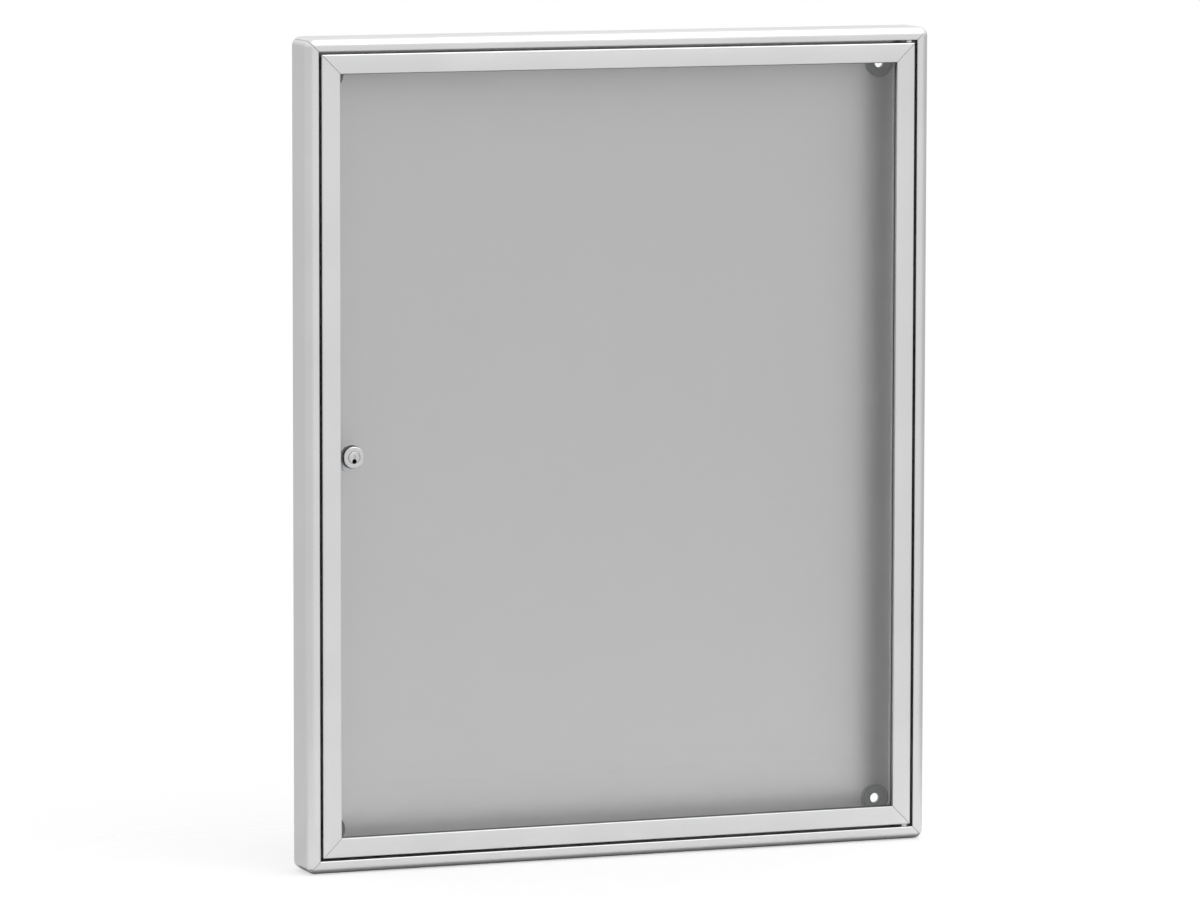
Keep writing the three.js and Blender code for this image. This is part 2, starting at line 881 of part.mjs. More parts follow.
function buildLockRotor() {
  const rotor = new THREE.Group();
  rotor.add(mesh("lock_plug", lockPlug(), chromed));
  rotor.add(mesh("keyway_shutter", keywayShutter(), chromed));
  rotor.add(mesh("lock_cam", lockCam(), zincPlated));
  rotor.add(mesh("cam_nut", camNut(), zincPlated));
  return rotor;
}

const group = new THREE.Group();
group.add(buildCase(), buildDoor());

export default group;
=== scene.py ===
# %% [markdown]
# # A lockable notice board
#
# The real thing is a shallow case of mitred aluminium profiles that hangs on a wall. A grey sheet closes
# its back, and a glazed door on two pivots closes its front with a cam lock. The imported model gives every
# piece its size and place, so this file only adds what the eye needs: finer surfaces, finishes and light.

# %% Load the model that everything is built around
import json
import math

import bmesh
import bpy
import numpy as np
from mathutils import Matrix, Vector


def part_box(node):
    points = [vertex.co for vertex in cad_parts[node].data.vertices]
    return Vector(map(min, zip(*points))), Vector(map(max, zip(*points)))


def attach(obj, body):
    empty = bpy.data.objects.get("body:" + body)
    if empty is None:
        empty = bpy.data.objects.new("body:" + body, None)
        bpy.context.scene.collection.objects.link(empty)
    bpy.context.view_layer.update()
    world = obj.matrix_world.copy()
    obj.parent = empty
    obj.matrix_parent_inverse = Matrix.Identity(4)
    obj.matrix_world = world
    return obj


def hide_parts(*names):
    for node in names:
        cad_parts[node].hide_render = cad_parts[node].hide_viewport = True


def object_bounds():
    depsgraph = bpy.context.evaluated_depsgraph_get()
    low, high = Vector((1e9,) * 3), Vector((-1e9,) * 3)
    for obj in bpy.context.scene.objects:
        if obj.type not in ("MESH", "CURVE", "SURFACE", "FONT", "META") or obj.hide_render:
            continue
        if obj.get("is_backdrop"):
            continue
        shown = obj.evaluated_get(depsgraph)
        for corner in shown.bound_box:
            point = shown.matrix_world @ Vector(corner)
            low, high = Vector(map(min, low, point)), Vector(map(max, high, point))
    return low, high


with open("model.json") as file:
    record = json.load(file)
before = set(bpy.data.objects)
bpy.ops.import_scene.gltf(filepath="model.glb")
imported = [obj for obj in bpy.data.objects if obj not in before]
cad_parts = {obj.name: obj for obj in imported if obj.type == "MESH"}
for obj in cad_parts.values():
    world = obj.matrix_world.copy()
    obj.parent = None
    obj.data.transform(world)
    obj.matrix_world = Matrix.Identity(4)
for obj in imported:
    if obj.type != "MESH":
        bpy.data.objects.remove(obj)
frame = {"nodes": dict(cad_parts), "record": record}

MM = 0.001
CAD_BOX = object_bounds()
HALF_WIDTH = CAD_BOX[1].x
HALF_HEIGHT = CAD_BOX[1].z
DEPTH = -CAD_BOX[0].y
print("board, mm:", [round(side / MM) for side in (2 * HALF_WIDTH, DEPTH, 2 * HALF_HEIGHT)])

# %% [markdown]
# ## Where the pieces lie
#
# The frame of the board is the same on all four sides, so one section says it all. In it a point has a
# distance inward from the outer face, and a distance forward from the wall. The boxes of the left side's
# pieces give both for the case, seal, door, gasket, glass and panel, so no size has to be typed twice.


# %% Read the section from the left side's pieces
def reach(node):
    """How far a piece of the left side reaches: inward from the board's outer face, and forward."""
    low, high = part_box(node)
    return low.x + HALF_WIDTH, high.x + HALF_WIDTH, -high.y, -low.y


_, CASE_WIDTH, _, _ = reach("case_profile_left")
DOOR_OUT, SIGHT, DOOR_BACK, _ = reach("door_stile_left")
SEAL_OUT, SEAL_IN, SEAL_BASE, SEAL_CROWN = reach("door_seal_left")
GASKET_OUT, GASKET_IN, GASKET_BACK, GASKET_FRONT = reach("glass_gasket_left")
BEAD_OUT, BEAD_IN, BEAD_BACK, BEAD_FRONT = reach("glazing_bead_left")
GLASS_OUT, _, GLASS_BACK, GLASS_FRONT = reach("door_glass")
PANEL_OUT, _, PANEL_BACK, PANEL_FRONT = reach("back_panel")
print("case width, door from, sight from, mm:", [round(v / MM, 1) for v in (CASE_WIDTH, DOOR_OUT, SIGHT)])

# %% [markdown]
# ## The camera
#
# The board is seen from its left and a little above, through a long lens: its verticals stay almost
# parallel. A camera is easiest to place by what it sees. Its turn and tilt give three directions, and the
# board's middle lies so far right, up and ahead along them. Going back by those three steps from the
# middle gives the camera's place.

# %% Camera
VIEW_TURN = math.radians(20.79)
VIEW_TILT = math.radians(6.38)
VIEW_ROLL = math.radians(0.11)
BOARD_IN_VIEW = Vector((0.0071, 0.0091, 9.0963))
SENSOR_WIDTH = 36.0
FOCAL_LENGTH = 225.0


def view_axes():
    """The camera's right, up and ahead: turned about the upright, tilted down, then rolled."""
    ahead = Vector((
        math.sin(VIEW_TURN) * math.cos(VIEW_TILT),
        math.cos(VIEW_TURN) * math.cos(VIEW_TILT),
        -math.sin(VIEW_TILT),
    ))
    level = Vector((math.cos(VIEW_TURN), -math.sin(VIEW_TURN), 0))
    upright = level.cross(ahead)
    right = level * math.cos(VIEW_ROLL) + upright * math.sin(VIEW_ROLL)
    up = upright * math.cos(VIEW_ROLL) - level * math.sin(VIEW_ROLL)
    return right, up, ahead


def make_camera():
    """A camera whose three directions are the columns of its matrix."""
    right, up, ahead = view_axes()
    data = bpy.data.cameras.new("camera")
    data.sensor_fit = "HORIZONTAL"
    data.sensor_width = SENSOR_WIDTH
    data.lens = FOCAL_LENGTH
    camera = bpy.data.objects.new("camera", data)
    bpy.context.scene.collection.objects.link(camera)
    turn = Matrix((right, up, -ahead)).transposed().to_4x4()
    place = -(right * BOARD_IN_VIEW.x + up * BOARD_IN_VIEW.y + ahead * BOARD_IN_VIEW.z)
    camera.matrix_world = Matrix.Translation(place) @ turn
    bpy.context.scene.camera = camera
    return camera


camera = make_camera()
print("camera at, m:", [round(v, 3) for v in camera.location])

# %% [markdown]
# ## Materials: helpers
#
# Colours are written as a painter reads them, in sRGB hex, and Blender counts light linearly, so one
# function turns the first into the second. Another adds a node with its settings, its values and whatever
# feeds it. Most finishes start from soft noise at a real size. Its values mostly lie between 0.3 and 0.7,
# and a Map Range node carries them to another range.

# %% Colour and node helpers
NOISE = (0.3, 0.7)
COLOUR_A, COLOUR_B, MIXED = 6, 7, 2  # the sockets of a Mix node that mixes colours
CLOUD_DETAIL, GRAIN_DETAIL = 3.0, 1.0
RANGE, MATH, VECTOR_MATH = "ShaderNodeMapRange", "ShaderNodeMath", "ShaderNodeVectorMath"
MIX, BUMP = "ShaderNodeMix", "ShaderNodeBump"


def linear(text):
    """A hex colour as linear light: each channel goes through the sRGB curve backwards."""
    srgb = np.array([int(text[i : i + 2], 16) / 255 for i in (1, 3, 5)])
    light = np.where(srgb <= 0.04045, srgb / 12.92, ((srgb + 0.055) / 1.055) ** 2.4)
    return (*light, 1.0)


def add(tree, kind, values=None, links=None, **settings):
    """Adds a node with its settings, the values of its inputs, and the sockets or nodes that feed them."""
    node = tree.nodes.new(kind)
    for name, value in settings.items():
        setattr(node, name, value)
    for socket, value in (values or {}).items():
        node.inputs[socket].default_value = value
    for socket, source in (links or {}).items():
        output = source.outputs[0] if isinstance(source, bpy.types.Node) else source
        tree.links.new(output, node.inputs[socket])
    return node


def new_material(name):
    """An empty material, with its node tree and the Object coordinates that its patterns follow."""
    material = bpy.data.materials.new(name)
    material.use_nodes = True
    material.node_tree.nodes.clear()
    place = add(material.node_tree, "ShaderNodeTexCoord").outputs["Object"]
    return material, material.node_tree, place


def shaded(material, metallic, links):
    """The material with one shader before its output, which is a metal as far as metallic says."""
    shader = add(material.node_tree, "ShaderNodeBsdfPrincipled", {"Metallic": metallic}, links)
    add(material.node_tree, "ShaderNodeOutputMaterial", links={"Surface": shader})
    return material


def limits(near, far, low=0.0, high=1.0):
    """The limits of a Map Range node: near becomes low, and far becomes high."""
    return {"From Min": near, "From Max": far, "To Min": low, "To Max": high}


def pattern(tree, place, size, detail=2.0, stretch=(1, 1, 1)):
    """Soft noise whose blotches are about size metres across, and longer where stretch is over 1."""
    scale = [1 / (size * factor) for factor in stretch]
    spot = add(tree, "ShaderNodeMapping", {"Scale": scale}, {"Vector": place})
    return add(tree, "ShaderNodeTexNoise", {"Scale": 1.0, "Detail": detail}, {"Vector": spot})


def tint(tree, noise, dark, light):
    """A colour between two, led by noise."""
    share = add(tree, RANGE, limits(*NOISE), {"Value": noise})
    colours = {COLOUR_A: linear(dark), COLOUR_B: linear(light)}
    return add(tree, MIX, colours, {"Factor": share}, data_type="RGBA").outputs[MIXED]


# %% [markdown]
# ## Natural anodised aluminium
#
# The profiles of the case and the door are pressed through a die, etched matt and anodised without colour.
# Etching leaves a fine even grain, and the die leaves faint lines along the profile. Pure metal with a
# middling roughness gives the grain's soft sheen. The lines are noise stretched along the profile, so rails
# and stiles need one material each. The grain is really a few hundredths of a millimetre, too fine to show,
# so it is drawn at half a millimetre and very shallow.

# %% Anodised aluminium
DIE_LINE = 0.7 * MM
DIE_LINE_STRETCH = 600
DIE_LINE_DEPTH = 0.003 * MM
DIE_LINE_ROUGH = (-0.02, 0.02)
ETCH_GRAIN = 0.5 * MM
ETCH_DEPTH = 0.004 * MM
BATH_CLOUD = 90 * MM
BATH_ROUGH = (0.29, 0.34)


def anodised(name, stretch):
    """Satin metal: die lines and etch grain in its relief, and clouds from the bath in its roughness."""
    material, tree, place = new_material(name)
    lines = pattern(tree, place, DIE_LINE, CLOUD_DETAIL, stretch)
    grain = pattern(tree, place, ETCH_GRAIN)
    cloud = pattern(tree, place, BATH_CLOUD, CLOUD_DETAIL)
    drawn = add(tree, BUMP, {"Strength": 1.0, "Distance": DIE_LINE_DEPTH}, {"Height": lines})
    both = {"Height": grain, "Normal": drawn}
    etched = add(tree, BUMP, {"Strength": 1.0, "Distance": ETCH_DEPTH}, both)
    streaks = add(tree, RANGE, limits(*NOISE, *DIE_LINE_ROUGH), {"Value": lines})
    clouds = add(tree, RANGE, limits(*NOISE, *BATH_ROUGH), {"Value": cloud})
    rough = add(tree, MATH, links={0: streaks, 1: clouds}, operation="ADD")
    links = {"Base Color": tint(tree, cloud, "#d3d3d4", "#d7d7d7"), "Roughness": rough, "Normal": etched}
    return shaded(material, 1.0, links)


RAIL_METAL = anodised("anodised_aluminium_rail", (DIE_LINE_STRETCH, 1, 1))
STILE_METAL = anodised("anodised_aluminium_stile", (1, 1, DIE_LINE_STRETCH))
print("made", RAIL_METAL.name, STILE_METAL.name)

# %% [markdown]
# ## Coated sheet steel
#
# The back panel is sheet steel with a baked silver-grey coat, so that magnets hold on it. The lacquer
# carries fine metal flakes, which give it most of a metal's sheen, and it dries with a slight orange peel.
# Real flakes are too fine to show, so they are drawn at about half a millimetre. Towards the panel's foot a
# little white is mixed into its colour, which is painted light. One picture can't tell whether its coat or
# the light does that, and here the coat does.

# %% Back panel's coat
ORANGE_PEEL = 1.6 * MM
PEEL_DEPTH = 0.006 * MM
FLAKE = 0.6 * MM
FLAKE_SHEEN = 0.88
COAT_CLOUD = 120 * MM
COAT_ROUGH = (0.41, 0.45)
PAINTED_LIGHT_AT_FOOT = 0.12


def coated_sheet():
    """Satin lacquer: flakes and painted light at the foot in its colour, clouds in roughness, peel in relief."""
    material, tree, place = new_material("silver_coated_steel")
    flaked = tint(tree, pattern(tree, place, FLAKE, GRAIN_DETAIL), "#b2b2b2", "#b9b9b9")
    height = add(tree, "ShaderNodeSeparateXYZ", links={0: place}).outputs["Z"]
    # painted light: a share of white that grows from the panel's top to its foot
    from_foot_up = limits(-HALF_HEIGHT, HALF_HEIGHT, PAINTED_LIGHT_AT_FOOT, 0.0)
    painted_light = add(tree, RANGE, from_foot_up, {"Value": height})
    sources = {"Factor": painted_light, COLOUR_A: flaked}
    colour = add(tree, MIX, {COLOUR_B: linear("#ffffff")}, sources, data_type="RGBA")
    cloud = pattern(tree, place, COAT_CLOUD)
    rough = add(tree, RANGE, limits(*NOISE, *COAT_ROUGH), {"Value": cloud})
    peel = pattern(tree, place, ORANGE_PEEL, GRAIN_DETAIL)
    relief = add(tree, BUMP, {"Strength": 1.0, "Distance": PEEL_DEPTH}, {"Height": peel})
    links = {"Base Color": colour.outputs[MIXED], "Roughness": rough, "Normal": relief}
    return shaded(material, FLAKE_SHEEN, links)


PANEL_COAT = coated_sheet()
print("made", PANEL_COAT.name)

# %% [markdown]
# ## Clear glass
#
# The door's pane is clear float glass, 4 mm thick. It bends what lies behind it by less than a pixel, so it
# is made as a clear film: nearly all light goes straight through, and part of it is mirrored. That part
# follows Fresnel's law. It is nearly doubled and kept to the faces that look at the eye, because a real pane
# mirrors once at its front and once at its back. A faint smear keeps the mirror from being perfect.

# %% Glass
GLASS_IOR = 1.52
BOTH_FACES = 1.9
SMEAR = 60 * MM
SMEAR_ROUGH = (0.0, 0.02)


def clear_glass():
    """A see-through film with a mirror over it, as strong as Fresnel's law says for two faces."""
    material, tree, place = new_material("clear_float_glass")
    clear = add(tree, "ShaderNodeBsdfTransparent", {"Color": linear("#fdfdfd")})
    smear = pattern(tree, place, SMEAR, CLOUD_DETAIL)
    rough = add(tree, RANGE, limits(*NOISE, *SMEAR_ROUGH), {"Value": smear})
    mirror = add(tree, "ShaderNodeBsdfGlossy", {"Color": (1, 1, 1, 1)}, {"Roughness": rough})
    law = add(tree, "ShaderNodeFresnel", {"IOR": GLASS_IOR})
    both = add(tree, MATH, {1: BOTH_FACES}, {0: law}, operation="MULTIPLY", use_clamp=True)
    away = add(tree, "ShaderNodeNewGeometry").outputs["Backfacing"]
    towards = add(tree, MATH, {0: 1.0}, {1: away}, operation="SUBTRACT")
    share = add(tree, MATH, links={0: both, 1: towards}, operation="MULTIPLY")
    mixed = add(tree, "ShaderNodeMixShader", links={0: share, 1: clear, 2: mirror})
    add(tree, "ShaderNodeOutputMaterial", links={"Surface": mixed})
    return material


GLASS = clear_glass()
print("made", GLASS.name)

# %% [markdown]
# ## Small finishes
#
# The rest are small pieces, and one recipe serves them: a colour that wanders between two near ones, a
# roughness that wanders too, and a relief of the right grain. What sets them apart is in their numbers.
# Chrome is smooth metal with polishing haze. Bright zinc is rougher and cloudier. Die-cast metal has a
# coarse skin. The others are no metal at all: the sleeves' moulded polyamide has a fine matt skin, rubber is
# dull and dark, the beads' vinyl and the washer's hard plastic are smoother, and nylon is milky. Real grain
# is finer, so it is drawn at half a millimetre or more to show.

# %% Small finishes
CLOUD_TO_GRAIN = 8


def plain_surface(tree, place, dark, light, rough, grain, cloud_size, depth):
    """Clouds between two colours and two roughnesses, and a relief of grain, with all sizes in mm."""
    cloud = pattern(tree, place, cloud_size * MM, CLOUD_DETAIL)
    skin = pattern(tree, place, grain * MM)
    return {
        "Base Color": tint(tree, cloud, dark, light),
        "Roughness": add(tree, RANGE, limits(*NOISE, *rough), {"Value": cloud}),
        "Normal": add(tree, BUMP, {"Strength": 1.0, "Distance": depth * MM}, {"Height": skin}),
    }


def plain_finish(name, dark, light, metallic, rough, grain, depth):
    """A material that has a plain surface, and is a metal or not."""
    material, tree, place = new_material(name)
    links = plain_surface(tree, place, dark, light, rough, grain, CLOUD_TO_GRAIN * grain, depth)
    return shaded(material, metallic, links)


CHROME = plain_finish("bright_chrome_plate", "#c4c4c6", "#cccccd", 1.0, (0.12, 0.18), 0.6, 0.001)
ZINC = plain_finish("bright_zinc_plate", "#b2b5b9", "#c0c3c6", 1.0, (0.3, 0.42), 0.7, 0.004)
CAST = plain_finish("die_cast_aluminium", "#9fa1a3", "#acaeb0", 1.0, (0.5, 0.6), 0.9, 0.02)
SLEEVE = plain_finish("moulded_grey_polyamide", "#5c5e60", "#646668", 0.0, (0.45, 0.55), 0.5, 0.01)
RUBBER = plain_finish("extruded_black_rubber", "#3c3d3e", "#444546", 0.0, (0.6, 0.72), 0.5, 0.01)
VINYL = plain_finish("extruded_grey_vinyl", "#a8a9aa", "#b0b1b2", 0.0, (0.4, 0.5), 0.6, 0.006)
BLACK = plain_finish("black_hard_plastic", "#151616", "#1b1c1c", 0.0, (0.4, 0.5), 0.6, 0.006)
NYLON = plain_finish("natural_nylon", "#d6d3c9", "#dedbd2", 0.0, (0.4, 0.5), 0.6, 0.006)
print("materials:", len(bpy.data.materials))

# %% [markdown]
# The lock's plug is chromed die-cast zinc. The bath hardly reaches into the keyway, so the chrome ends just
# inside it, and further in the metal is bare and rough. There its colour is also painted near black, as painted
# shade in the narrow keyway. A point's distance from the plug's face says which of the two it shows.

# %% Plug's finish, sizes in mm
PLUG_FRONT = 52.3
CHROME_TO, BARE_AND_SHADE_FROM = 0.3, 1.0
PLUG_CLOUD = 5
BARE_ROUGHER = 0.4


def plug_finish():
    """Chrome with polishing haze near the plug's face, and rough bare zinc with painted shade further in."""
    material, tree, place = new_material("chromed_zinc_plug")
    backward = add(tree, "ShaderNodeSeparateXYZ", links={0: place}).outputs["Y"]
    into_keyway = limits((CHROME_TO - PLUG_FRONT) * MM, (BARE_AND_SHADE_FROM - PLUG_FRONT) * MM)
    bare_and_shade = add(tree, RANGE, into_keyway, {"Value": backward})
    links = plain_surface(tree, place, "#c4c4c6", "#cccccd", (0.14, 0.2), 0.6, PLUG_CLOUD, 0.001)
    sources = {"Factor": bare_and_shade, COLOUR_A: links["Base Color"]}
    # painted shade: deeper in the keyway the colour turns to near black
    colour = add(tree, MIX, {COLOUR_B: linear("#2a2a2a")}, sources, data_type="RGBA")
    sources = {0: bare_and_shade, 2: links["Roughness"]}
    rough = add(tree, MATH, {1: BARE_ROUGHER}, sources, operation="MULTIPLY_ADD")
    links.update({"Base Color": colour.outputs[MIXED], "Roughness": rough})
    return shaded(material, 1.0, links)


PLUG = plug_finish()
print("made", PLUG.name)

# %% [markdown]
# ## Solids from rings of points
#
# Almost every piece here is a closed outline carried along a path: a profile along a side of the board, a
# sheet's edge from its back to its front, a turned piece's circle from point to point of its profile. As
# arrays that is a stack of rings. Neighbouring rings are joined by four-sided faces, the first and last
# ring are filled, with holes where there are several stacks, and points that coincide are merged.

# %% Build a mesh from stacks of rings
MERGE = 0.5e-6
SMOOTH_BELOW = math.radians(32)


def ring_faces(rows, count):
    """The faces between rings: each point with its neighbour round the ring, and both in the next ring."""
    index = np.arange(rows * count).reshape(rows, count)
    beside = np.roll(index, -1, axis=1)
    return np.stack([index[:-1], beside[:-1], beside[1:], index[1:]], axis=-1).reshape(-1, 4)


def mesh_of(points, edges, faces):
    """A mesh of points, edges and faces."""
    mesh = bpy.data.meshes.new("part")
    mesh.from_pydata(points, edges, faces)
    return mesh


def flat_face(rings):
    """A flat face inside the first ring, with the other rings as its holes."""
    starts = np.cumsum([0] + [len(ring) for ring in rings[:-1]])
    counts = [np.arange(len(ring)) for ring in rings]
    edges = [np.stack([at, np.roll(at, -1)], axis=-1) + start for at, start in zip(counts, starts)]
    form = bmesh.new()
    form.from_mesh(mesh_of(np.vstack(rings), np.vstack(edges), []))
    bmesh.ops.remove_doubles(form, verts=form.verts[:], dist=MERGE)
    bmesh.ops.triangle_fill(form, edges=form.edges[:], use_beauty=True)
    mesh = bpy.data.meshes.new("part")
    form.to_mesh(mesh)
    form.free()
    return mesh


def solid(name, stacks, filled=True):
    """An object from stacks of rings: sides between the rings and, if filled, a face at either end."""
    form = bmesh.new()
    for stack in stacks:
        form.from_mesh(mesh_of(stack.reshape(-1, 3), [], ring_faces(*stack.shape[:2])))
    if filled:
        form.from_mesh(flat_face([stack[0] for stack in stacks]))
        form.from_mesh(flat_face([stack[-1] for stack in stacks]))
    bmesh.ops.remove_doubles(form, verts=form.verts[:], dist=MERGE)
    bmesh.ops.dissolve_degenerate(form, edges=form.edges[:], dist=MERGE)
    bmesh.ops.recalc_face_normals(form, faces=form.faces[:])
    mesh = bpy.data.meshes.new(name)
    form.to_mesh(mesh)
    form.free()
    piece = bpy.data.objects.new(name, mesh)
    bpy.context.scene.collection.objects.link(piece)
    return piece


# %% [markdown]
# ## Outlines
#
# Sections and plates are drawn as corner points with a radius at each corner. The same formula rounds them
# all: the arc's middle lies on the inner side, and a direction swings evenly from the normal of one edge to
# the normal of the next. The last function here moves an outline inwards, for the fine chamfer of a sawn or
# stamped edge.

# %% Outlines
ARC_STEPS = 8
SMALL_ARC = 4
ROUND_POINTS = 96


def rounded(rows, steps=ARC_STEPS):
    """Corners of x, y and radius as arcs: a middle plus the radius times a direction that turns."""
    corners, radius = np.split(np.array(rows, float), [2], axis=1)
    before = corners - np.roll(corners, 1, axis=0)
    unit = before / np.linalg.norm(before, axis=1, keepdims=True)
    (x0, y0), (x1, y1) = unit.T, np.roll(unit, -1, axis=0).T
    turn = np.arctan2(x0 * y1 - y0 * x1, x0 * x1 + y0 * y1)[:, None]
    outward = np.sign(turn) * np.column_stack([y0, -x0])
    start = corners - unit * radius * np.tan(np.abs(turn) / 2)
    middle = start - outward * radius
    angle = turn * np.linspace(0, 1, steps + 1)
    swing = np.stack([
        outward[:, :1] * np.cos(angle) - outward[:, 1:] * np.sin(angle),
        outward[:, :1] * np.sin(angle) + outward[:, 1:] * np.cos(angle),
    ], axis=-1)
    points = (middle[:, None] + radius[:, None] * swing).reshape(-1, 2)
    return points[np.linalg.norm(points - np.roll(points, 1, axis=0), axis=1) > MERGE]


def in_mm(rows, steps=SMALL_ARC):
    """Rounded corners again, from rows that are given in millimetres."""
    return rounded(np.array(rows, float) * MM, steps)


def rectangle(left, right, low, high, radius, steps=ARC_STEPS):
    """A rectangle whose four corners have the same radius."""
    corners = [(left, low), (right, low), (right, high), (left, high)]
    return rounded([(*corner, radius) for corner in corners], steps)


def circle(radius, middle, count=ROUND_POINTS):
    """A circle: the middle plus the radius times the cosine and sine of evenly spaced angles."""
    angle = 2 * math.pi * np.arange(count) / count
    return np.column_stack([middle[0] + radius * np.cos(angle), middle[1] + radius * np.sin(angle)])


def inset(outline, distance):
    """An outline moved inwards: each point goes along the sum of its two edges' inner normals."""
    x, y = outline.T
    side = np.sign(np.sum(x * np.roll(y, -1) - y * np.roll(x, -1)))
    normals = []
    for edge in (outline - np.roll(outline, 1, axis=0), np.roll(outline, -1, axis=0) - outline):
        unit = edge / np.linalg.norm(edge, axis=1, keepdims=True)
        normals.append(side * np.column_stack([-unit[:, 1], unit[:, 0]]))
    between = 1 + np.sum(normals[0] * normals[1], axis=1, keepdims=True)
    return outline + distance * (normals[0] + normals[1]) / between


# %% Settle a piece on its body
BODY_OF = {node: body for body, nodes in frame["record"]["behaviour"]["bodies"].items() for node in nodes}
made = []


def settle(piece, node, material):
    """The piece takes the place and body of a node, shows its material and is shaded smooth."""
    piece.data.materials.clear()
    piece.data.materials.append(material)
    piece.data.shade_smooth()
    piece.data.set_sharp_from_angle(angle=SMOOTH_BELOW)
    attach(piece, BODY_OF[node])
    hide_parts(node)
    made.append(piece.name)


def drilled(piece, cutter):
    """The piece with the cutter taken out of it, and the cutter gone."""
    step = piece.modifiers.new("drill", "BOOLEAN")
    step.operation = "DIFFERENCE"
    step.solver = "EXACT"
    step.object = cutter
    bpy.context.view_layer.update()
    done = bpy.data.meshes.new_from_object(piece.evaluated_get(bpy.context.evaluated_depsgraph_get()))
    piece.modifiers.clear()
    piece.data = done
    bpy.data.objects.remove(cutter)
    return piece


# %% [markdown]
# ## Mitred members
#
# A profile is sawn at 45 degrees at both ends, so a point of its section that lies further inward ends
# sooner. Where the board's corner is ground round, the outer part of the section turns about the corner's
# axis up to the mitre, so the large round at the front goes on round the corner. On a grid of section points
# and rows this is one formula with numpy's maximum and minimum as limits. The last ring is drawn in by a
# fraction of a millimetre, as a deburred edge, which gives each joint its fine light lines.

# %% Members along the four sides
MITRE_GAP = 0.15 * MM
DEBURR = 0.3 * MM
CORNER_ROWS = 13
SIDES = ("top", "right", "bottom", "left")


def on_side(side, along, inward, forward):
    """Points of a section as points of the board: along a side, inward from its face, and forward."""
    turn = SIDES.index(side)
    across = (HALF_WIDTH if turn % 2 else HALF_HEIGHT) - inward
    x, z = [(along, across), (across, -along), (-along, -across), (-across, along)][turn]
    return np.stack([x, -forward, z], axis=-1)


def round_corner(inward, half, corner, angle):
    """A section turned about the corner's axis by an angle: how far inward and along its points then are."""
    beyond = np.maximum(corner - inward, 0)
    return inward + beyond * (1 - np.cos(angle)), half - np.maximum(inward, corner) + beyond * np.sin(angle)


def member_rings(side, outline, corner, deburr):
    """The rings of a member: its section at each row of the corner, held to the mitre planes."""
    half = HALF_HEIGHT if SIDES.index(side) % 2 else HALF_WIDTH
    angle = np.linspace(0, math.pi / 4, CORNER_ROWS if corner else 1)[:, None]
    inward, along = round_corner(outline[:, 0], half, corner, angle)
    along = np.minimum(along, half - inward - MITRE_GAP - deburr)
    drawn = inset(outline, deburr)
    edge, _ = round_corner(drawn[:, 0], half, corner, math.pi / 4)
    inward = np.vstack([inward, inward[-1], edge])
    along = np.vstack([along, half - inward[-2] - MITRE_GAP - deburr, half - edge - MITRE_GAP])
    forward = np.vstack([np.tile(outline[:, 1], (len(along) - 1, 1)), drawn[:, 1]])
    inward, forward = (np.concatenate([grid[::-1], grid]) for grid in (inward, forward))
    return on_side(side, np.concatenate([-along[::-1], along]), inward, forward)


def member(name, side, outline, chambers=(), corner=0.0):
    """A member of one side from its outline, hollow where it has chambers."""
    stacks = [member_rings(side, outline, corner, DEBURR)]
    stacks += [member_rings(side, chamber, 0.0, 0.0) for chamber in chambers]
    return solid(name, stacks)


# %% [markdown]
# ## Sheets, blocks and turned pieces
#
# A sheet or block is an outline with holes, carried straight from one face to the other, with its edges
# drawn in at both faces. A turned piece is a profile of radius and distance along its axis. A nut's flats
# and a lock's square tail are turned too: at each angle the radius of a polygon is its half width over the
# cosine of the angle from the middle of the nearest flat.


# %% Blocks
def facing(across, up, along):
    """An outline that faces the front: across, up, and along forward of the wall."""
    return across, -along, up


def standing(across, forward, along):
    """An outline seen from above: across, forward of the wall, and along upwards."""
    return across, -forward, along


def block(name, outline, holes, low, high, edge, place=facing):
    """An outline carried from low to high: its edges, and those of its holes, are drawn in at both faces."""
    rows = [(edge, low), (0, low + edge), (0, high - edge), (edge, high)]
    stacks = []
    for loop, sign in [(outline, 1)] + [(hole, -1) for hole in holes]:
        rings = []
        for drawn, along in rows:
            ring = inset(loop, sign * drawn)
            rings.append(np.stack(place(*ring.T, np.full(len(ring), along)), axis=-1))
        stacks.append(np.array(rings))
    return solid(name, stacks)


def sheet(inward, radius):
    """The outline of a sheet that stays that far inward of the board's four sides."""
    x, z = HALF_WIDTH - inward, HALF_HEIGHT - inward
    return rectangle(-x, x, -z, z, radius)


# %% Turned pieces
AXES = {
    "forward": Matrix(((1, 0, 0), (0, 0, -1), (0, 1, 0))),
    "up": Matrix.Identity(3),
    "right": Matrix(((0, 0, 1), (1, 0, 0), (0, 1, 0))),
}


def turned(name, middle, axis, profile, flip=1):
    """Circles or polygons along an axis: rows of radius, distance, sides and slope of the cone it meets."""
    rows = np.array([(*row, 0, 0)[:4] for row in profile], float)
    if rows[0, 0] > 0:
        rows = np.vstack([rows, rows[:1]])
    size, along, sides, slope = rows.T[:, :, None]
    angle = 2 * math.pi * np.arange(ROUND_POINTS) / ROUND_POINTS
    flat = 2 * math.pi / np.where(sides, sides, 1)
    from_flat = (angle - math.pi / 2 + flat / 2) % flat - flat / 2
    radius = size / np.where(sides, np.cos(np.where(sides, from_flat, 0)), 1)
    along = flip * (along + slope * (radius - size)) + 0 * angle
    points = np.stack([radius * np.cos(angle), radius * np.sin(angle), along], axis=-1)
    return solid(name, [points @ np.array(AXES[axis]).T + np.array(middle)], filled=False)


# %% [markdown]
# ## Case profiles
#
# Each side of the case is an extruded bar with two chambers. Its outer face runs over a large round into
# the lip that frames the door, and behind the lip a shoulder carries the door's seal. At the back a groove
# holds the sheet. The wall at the corners is thick enough to be ground round after assembly.

